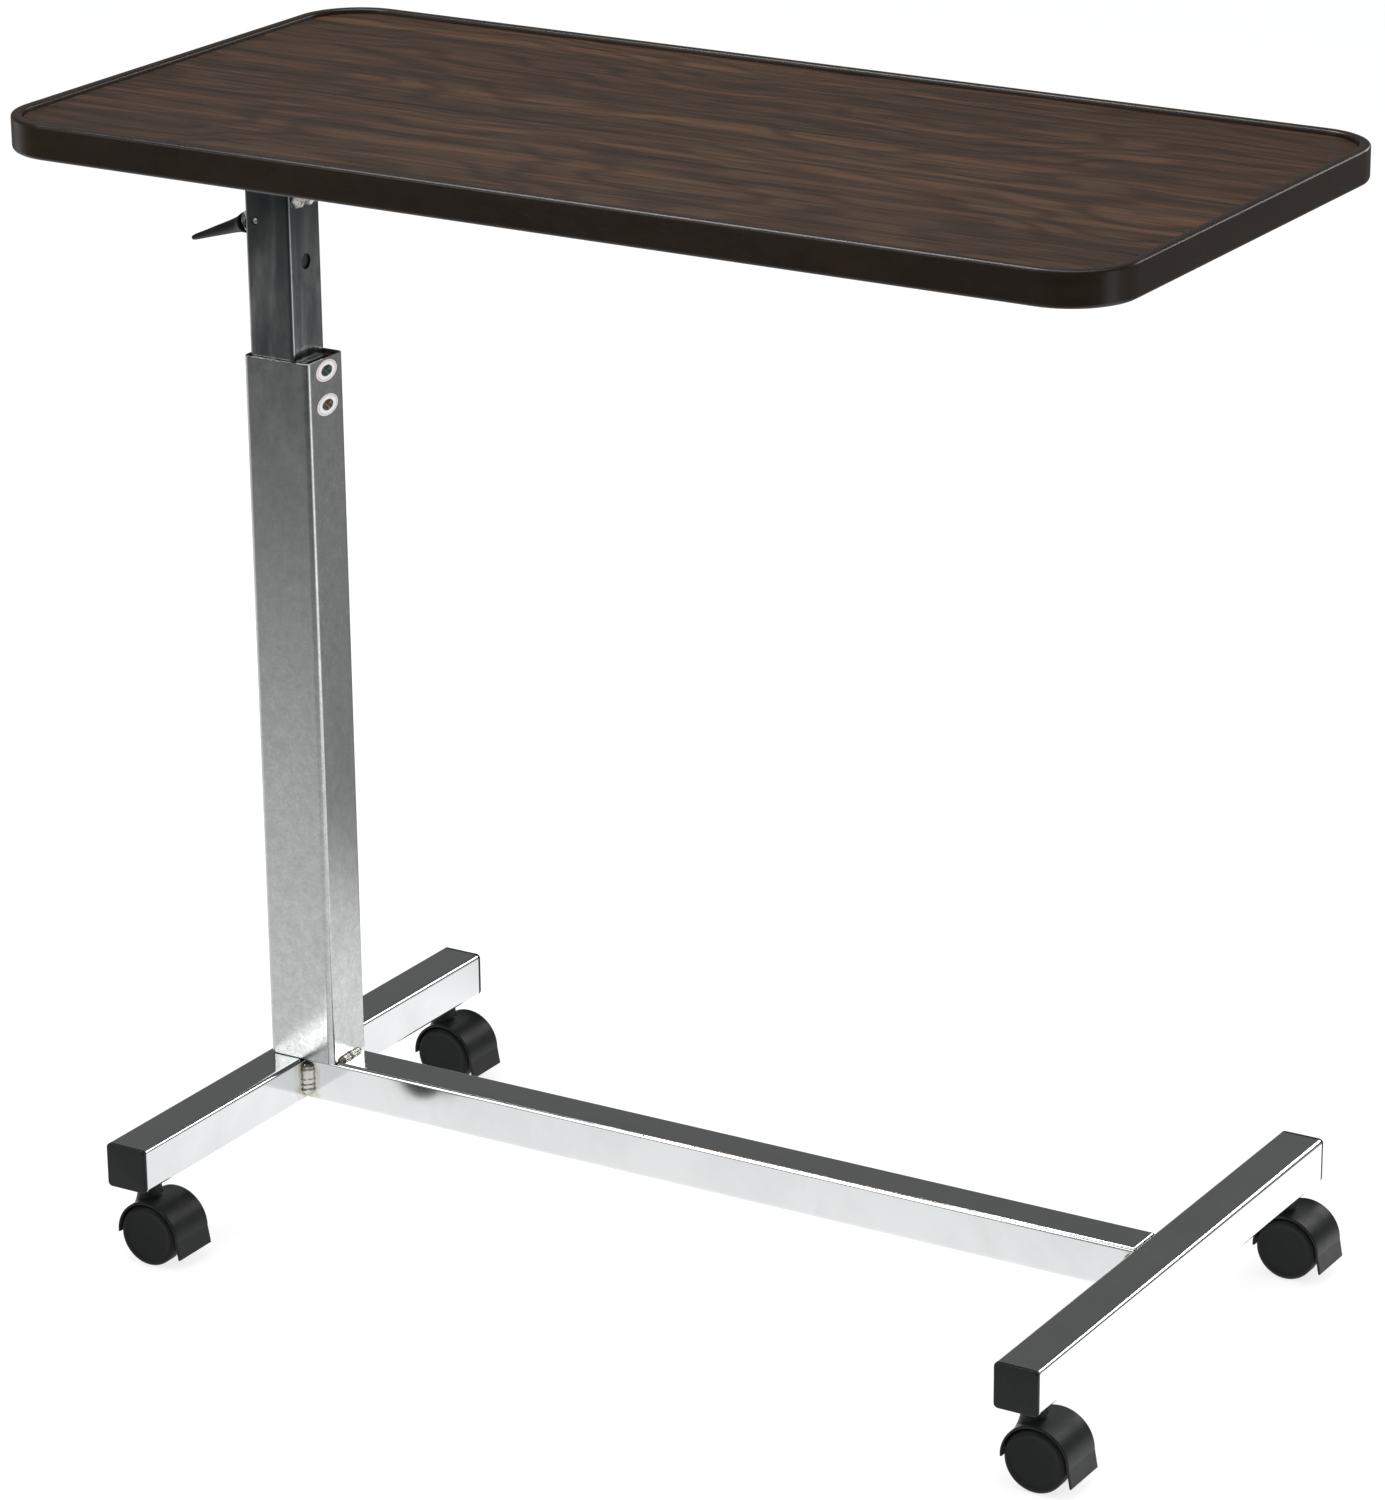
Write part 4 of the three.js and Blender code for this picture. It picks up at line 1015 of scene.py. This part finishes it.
mast_low, mast_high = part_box("mast_tube")
mast_middle = middle("mast_tube")
mast_bore = mast_high.y - mast_low.y - 2 * TUBE_WALL
mast_steel = steel_finish(
    "mast_steel", (0.29, 0.335, 0.345, 1), (0.57, 0.58, 0.56, 1), 0.15, 0.26, mast_middle.x, mast_bore,
    MAST_SHADED_FROM)
pin_middle = middle("lever_pin")
extent = size("mast_tube")
mast_blank = square_tube("z", mast_middle, extent.x, extent.y, MAST_EDGE, TUBE_WALL, extent.z)
stop_hole = rod("x", (mast_high.x, 0, STOP_HOLE_Z), STOP_HOLE_RADIUS, 5 * MM)
lever_slot = lofted_bar(
    "x", (mast_low.x, 0, LEVER_SLOT_Z), [(*LEVER_SLOT, -3 * MM), (*LEVER_SLOT, 3 * MM)])
pin_hole = rod("y", pin_middle, PIN_HOLE, extent.y + 4 * MM)
mast_mesh = drilled(mast_blank, stop_hole, lever_slot, pin_hole)
stand_in("mast_tube", mast_mesh, mast_steel)
coat("mast_glide", grey_nylon)
coat("piston_rod_block", grey_nylon)

low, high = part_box("mast_weld")
corner = Vector((low.x, low.y, high.z))
run = Vector((0, high.y - low.y, 0))
bead = weld_bead(corner, run, Vector((1, 0, 0)), Vector((0, 0, -1)), MAST_BEAD_LEG, 9.0)
stand_in("mast_weld", bead, plated_weld, even=False)

# ---- Release lever -----------------------------------------------------------------------------
# A pressed steel arm on a cross pin, with a tapered black plastic grip pushed over it. The grip
# flares into a collar against a thin bright washer.
LEVER_DROOP = math.radians(20)
GRIP_PROFILE = [
    (5.9, 0.0), (6.6, 0.3), (6.75, 0.9), (6.5, 1.8), (5.9, 3.2), (5.35, 5.2), (4.85, 8.0),
    (4.35, 12.0), (3.95, 17.0), (3.5, 23.0), (3.0, 29.0), (2.6, 34.0), (2.25, 39.0), (1.9, 43.6),
    (1.5, 45.6), (0.8, 46.4), (0.2, 46.6)]
GRIP_FLATTEN = 1.5
GRIP_START = 19 * MM
ARM_ROOM = (4.2 * MM, 8.8 * MM, 0.4 * MM)
WASHER_PROFILE = [(6.7, -0.6), (7.0, -0.4), (7.0, 0.4), (6.7, 0.6)]
PIN_RADIUS = 2 * MM

lever_turn = Matrix.Rotation(-(math.pi / 2 + LEVER_DROOP), 4, "Y")
pivot = Vector((pin_middle.x, 0, pin_middle.z))


def lever_place(distance):
    """A point on the lever's line, that far from the pivot."""
    return pivot + Vector((-distance * math.cos(LEVER_DROOP), 0, -distance * math.sin(LEVER_DROOP)))


def lever_form(profile, start, flatten, socket_depth):
    """A turned form along the lever with a flat socket for the arm."""
    outline = [(radius * MM, along * MM) for radius, along in profile]
    form = turned_form(outline, squash=flatten, segments=64)
    ends = [(*ARM_ROOM, -socket_depth), (*ARM_ROOM, socket_depth)]
    mesh = drilled(form, lofted_bar("z", (0, 0, 0), ends))
    mesh.transform(Matrix.Translation(lever_place(start)) @ lever_turn)
    return mesh


grip_mesh = lever_form(GRIP_PROFILE, GRIP_START, GRIP_FLATTEN, 19 * MM)
stand_in("lever_grip", grip_mesh, cap_plastic)
washer_mesh = lever_form(WASHER_PROFILE, GRIP_START - 1 * MM, 1.0, 2 * MM)
stand_in("lever_washer", washer_mesh, zinc_plate)
coat("lever_arm", zinc_plate)
pin_half = size("lever_pin").y / 2
pin_profile = [
    (PIN_RADIUS - 0.8 * MM, -pin_half), (PIN_RADIUS - 0.2 * MM, 0.3 * MM - pin_half),
    (PIN_RADIUS, 0.8 * MM - pin_half), (PIN_RADIUS, pin_half - 0.8 * MM),
    (PIN_RADIUS - 0.2 * MM, pin_half - 0.3 * MM), (PIN_RADIUS - 0.8 * MM, pin_half)]
stand_in("lever_pin", turned_form(pin_profile, "y", pin_middle, 32), zinc_plate)

# ---- Beam, its caps, the cross straps and the screws under the top -----------------------------
# A square steel tube carries the top from the mast; flat tube straps across it are screwed to the
# board. All of it is hidden from above by the top.
BEAM_EDGE = 3 * MM
STRAP_EDGE = 1.5 * MM
STRAP_WALL = 1.2 * MM
CRIMP_LENGTH = 28 * MM
CRIMP_HEIGHT = 0.4                   # height of a crimped end against the rest
CRIMP_STEEPNESS = 2.5
CRIMP_CUTS = 23
SCREW_OFFSET = 110 * MM
STRAP_HOLE = 2.5 * MM
SCREW_HEAD = [(3.0, 0.0), (3.9, 0.35), (4.4, 1.0), (4.5, 1.6), (4.5, 2.5), (2.0, 2.5)]
THREAD_RADIUS = 2 * MM
THREAD_ROOT = 1.7 * MM
THREAD_PITCH = 0.8 * MM
THREAD_START = 7 * MM                # over the lowest point of the head
THREAD_MARGIN = 12 * MM              # head, plain neck and point together
CROSS_ARMS = ((4.4 * MM, 0.9 * MM), (0.9 * MM, 4.4 * MM))

extent = size("support_beam")
beam = square_tube("x", middle("support_beam"), extent.y, extent.z, BEAM_EDGE, TUBE_WALL, extent.x)
stand_in("support_beam", beam, chrome_plate)

for node, sign in (("beam_cap_column", -1), ("beam_cap_far", 1)):
    low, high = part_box(node)
    outer_end = high.x if sign > 0 else low.x
    section = high.y - low.y
    plug = section - 2 * TUBE_WALL - PLUG_SLACK
    sections = [
        (plug - 1 * MM, 1.5 * MM, -13 * MM), (plug, PLUG_CORNER, -12.2 * MM), (plug, PLUG_CORNER, -2 * MM),
        (section - 0.4 * MM, BEAM_EDGE, -2 * MM), (section, BEAM_EDGE, -1.8 * MM),
        (section, BEAM_EDGE, -0.8 * MM), (section - 0.5 * MM, BEAM_EDGE, -0.25 * MM),
        (section - 1.6 * MM, BEAM_EDGE - 0.6 * MM, 0)]
    squares = [(wide, wide, corner, sign * along) for wide, corner, along in sections]
    cap = lofted_bar("x", (outer_end, 0, middle(node).z), squares)
    stand_in(node, cap, cap_plastic)


def crimped(mesh, node):
    """The strap with both ends pressed flatter against the board."""
    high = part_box(node)[1]
    form = bmesh.new()
    form.from_mesh(mesh)
    long_edges = [edge for edge in form.edges if edge.calc_length() > CRIMP_LENGTH]
    bmesh.ops.subdivide_edges(form, edges=long_edges, cuts=CRIMP_CUTS)
    for corner in form.verts:
        reach = (abs(corner.co.y) - (high.y - CRIMP_LENGTH)) / CRIMP_LENGTH
        press = 1 - (1 - CRIMP_HEIGHT) * min(max(CRIMP_STEEPNESS * reach, 0), 1)
        corner.co.z = high.z - (high.z - corner.co.z) * press
    form.to_mesh(mesh)
    form.free()
    return mesh


def screw_form(node):
    """A pan-head wood screw that points upwards, with a cross recess in its head."""
    low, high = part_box(node)
    shaft = [(radius * MM, low.z + along * MM) for radius, along in SCREW_HEAD]
    for turn in range(int((high.z - low.z - THREAD_MARGIN) / THREAD_PITCH)):
        thread_z = low.z + THREAD_START + turn * THREAD_PITCH
        shaft += [(THREAD_RADIUS, thread_z), (THREAD_ROOT, thread_z + THREAD_PITCH / 2)]
    shaft += [(1.6 * MM, high.z - 4 * MM), (0.2 * MM, high.z)]
    blank = turned_form(shaft, centre=over(node, 0), segments=32)
    cross = [
        lofted_bar("z", over(node, low.z), [(*arm, 0.2 * MM, -1 * MM), (*arm, 0.2 * MM, 1.4 * MM)])
        for arm in CROSS_ARMS]
    return drilled(blank, *cross)


for strap in ("column", "far"):
    node = strap + "_cross_strap"
    extent = size(node)
    blank = square_tube("y", middle(node), extent.x, extent.z, STRAP_EDGE, STRAP_WALL, extent.y)
    holes = [
        rod("z", middle(node) + Vector((0, sign * SCREW_OFFSET, 0)), STRAP_HOLE, 2 * extent.z)
        for sign in (-1, 1)]
    stand_in(node, drilled(crimped(blank, node), *holes), chrome_plate)
    for side in ("front", "rear"):
        screw = f"{strap}_{side}_screw"
        stand_in(screw, screw_form(screw), zinc_plate)

# ---- Top board, laminate and edge moulding -----------------------------------------------------
# Particle board faced with a walnut-print laminate that has a fine satin grain. A brown vinyl
# moulding is bent round the edge; its lip stands over the laminate and stops things rolling off.
TOP_CORNER = 43 * MM
TOP_CORNER_STEPS = 20
BOARD_SOFT_EDGE = 0.3 * MM
SHEET_EDGE = 0.15 * MM
PILOT_RADIUS = 2.3 * MM
PILOT_LENGTH = 26 * MM

top_low, top_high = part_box("edge_moulding")
top_length = top_high.x - top_low.x
top_width = top_high.y - top_low.y


def top_ring(inset, z):
    """The top's outline, pulled in by inset, at a height."""
    outline = rounded_rectangle(
        top_length - 2 * inset, top_width - 2 * inset, TOP_CORNER - inset, TOP_CORNER_STEPS)
    return [Vector((x, y, z)) for x, y in outline]


def board_finish():
    material, tree, shader, place = start_material("particle_board", Roughness=0.86)
    chips = add_node(tree, "TexVoronoi", {"Vector": place, "Scale": 420.0})
    chip = cut_up(tree, chips.outputs["Color"])["X"]
    brown, tan, pale = (0.2, 0.13, 0.07, 1), (0.36, 0.25, 0.14, 1), (0.5, 0.37, 0.22, 1)
    base = ramp(tree, chip, (0.0, brown), (0.5, tan), (1.0, pale))
    rough_face = stretched_noise(tree, place, (900.0, 900.0, 900.0), 4.0)
    connect(tree, shader, Base_Color=base, Normal=bump(tree, rough_face, 0.5, 0.0004))
    return material


low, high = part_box("top_board")
board_inset = top_high.x - high.x
board_mesh = skin_rings([
    top_ring(board_inset + BOARD_SOFT_EDGE, low.z), top_ring(board_inset, low.z + BOARD_SOFT_EDGE),
    top_ring(board_inset, high.z - BOARD_SOFT_EDGE), top_ring(board_inset + BOARD_SOFT_EDGE, high.z)])
pilots = [
    rod("z", over(f"{strap}_{side}_screw", low.z), PILOT_RADIUS, PILOT_LENGTH)
    for strap in ("column", "far") for side in ("front", "rear")]
stand_in("top_board", drilled(board_mesh, *pilots), board_finish())


def walnut_finish():
    """Plain-sawn walnut: arched growth lines, fine dark pores and reddish streaks along X."""
    material, tree, shader, place = start_material("walnut_laminate", Specular_IOR_Level=0.14)
    drift = stretched_noise(tree, place, (2.6, 7.0, 1.0), 3.0, 0.5)
    where = cut_up(tree, place)
    straight = math_node(tree, "MULTIPLY", where["Y"], 9.0)
    across = math_node(tree, "ADD", straight, math_node(tree, "MULTIPLY", drift, 3.4))
    arches = math_node(tree, "SINE", math_node(tree, "MULTIPLY", across, 26.0))
    fibre = stretched_noise(tree, place, (3.6, 520.0, 1.0), 5.0, 0.65)
    pores = stretched_noise(tree, place, (18.0, 950.0, 1.0), 2.0, 0.55)
    band = stretched_noise(tree, place, (1.2, 64.0, 1.0), 3.0, 0.6)
    dark, mid, red = (0.018, 0.0098, 0.0059, 1), (0.071, 0.039, 0.022, 1), (0.108, 0.0535, 0.0295, 1)
    base = blend_colours(tree, spread(tree, fibre, 0.36, 0.64, 0, 1), dark, mid)
    base = blend_colours(tree, spread(tree, band, 0.48, 0.72, 0, 0.8), base, red)
    base = blend_colours(tree, spread(tree, arches, -0.2, 1, 0.0, 0.55), base, dark)
    pore_mask = spread(tree, pores, 0.56, 0.64, 0, 0.85)
    base = blend_colours(tree, pore_mask, base, (0.007, 0.0045, 0.0035, 1))
    wiped = use_effect(tree, smudges, Place=place, Scale=(5.0, 5.0, 5.0))["Mask"]
    satin = spread(tree, wiped, 0, 1, 0.36, 0.42)
    roughness = math_node(tree, "ADD", satin, spread(tree, fibre, 0.3, 0.7, -0.02, 0.05))
    relief = math_node(tree, "SUBTRACT", fibre, math_node(tree, "MULTIPLY", pore_mask, 0.8))
    normal = bump(tree, relief, 0.12, 0.00008)
    connect(tree, shader, Base_Color=base, Roughness=roughness, Normal=normal)
    return material


low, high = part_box("laminate_sheet")
sheet_inset = top_high.x - high.x
sheet_mesh = skin_rings([
    top_ring(sheet_inset, low.z), top_ring(sheet_inset, high.z - SHEET_EDGE),
    top_ring(sheet_inset + SHEET_EDGE, high.z)])
stand_in("laminate_sheet", sheet_mesh, walnut_finish())


def arc_profile(centre_inset, centre_z, radius, from_degrees, to_degrees, steps=6):
    """Points of a moulding edge as (inset, height) pairs in millimetres."""
    points = []
    for step in range(steps + 1):
        angle = math.radians(from_degrees + (to_degrees - from_degrees) * step / steps)
        points.append((centre_inset - radius * math.cos(angle), centre_z + radius * math.sin(angle)))
    return points


def moulding_form():
    """The moulding's section carried round the top. Heights are over its lower edge."""
    top_z = (top_high.z - top_low.z) / MM
    profile = [(4.0, 0.6), (3.7, 0.1)]
    profile += arc_profile(3.0, 3.0, 3.0, -80, 0)
    profile += [(0.0, 9.0), (0.0, 15.0)]
    profile += arc_profile(1.9, top_z - 1.9, 1.9, 0, 90)
    profile += [(4.0, top_z - 0.01), (5.8, top_z - 0.08), (6.4, top_z - 0.3)]
    profile += [(6.8, top_z - 0.8), (7.0, top_z - 1.6), (7.0, top_z - 3.4)]
    profile += [(6.6, top_z - 3.42), (4.0, top_z - 3.42)]
    rings = [top_ring(inset * MM, top_low.z + rise * MM) for inset, rise in profile]
    return skin_rings(rings, loop_back=True)


def vinyl_finish():
    material, tree, shader, place = start_material("brown_vinyl", Specular_IOR_Level=0.24)
    skin = use_effect(tree, moulded_skin, Place=place, Grain=1500.0)
    rubbed = use_effect(tree, smudges, Place=place, Scale=(9.0, 9.0, 40.0))["Mask"]
    scuff = use_effect(tree, hairlines, Place=place, Scale=(40.0, 40.0, 300.0))["Mask"]
    handled = spread(tree, rubbed, 0, 1, 0, 0.7)
    base = blend_colours(tree, handled, (0.0145, 0.0088, 0.0052, 1), (0.023, 0.0142, 0.0085, 1))
    base = blend_colours(tree, spread(tree, scuff, 0, 1, 0, 0.4), base, (0.06, 0.045, 0.035, 1))
    waves = stretched_noise(tree, place, (22.0, 22.0, 60.0), 2.0)
    normal = bump(tree, skin["Height"], 0.1, 0.0001, bump(tree, waves, 0.25, 0.0006))
    roughness = spread(tree, skin["Patch"], 0.3, 0.7, 0.26, 0.36)
    connect(tree, shader, Base_Color=base, Roughness=roughness, Normal=normal)
    return material


stand_in("edge_moulding", moulding_form(), vinyl_finish())
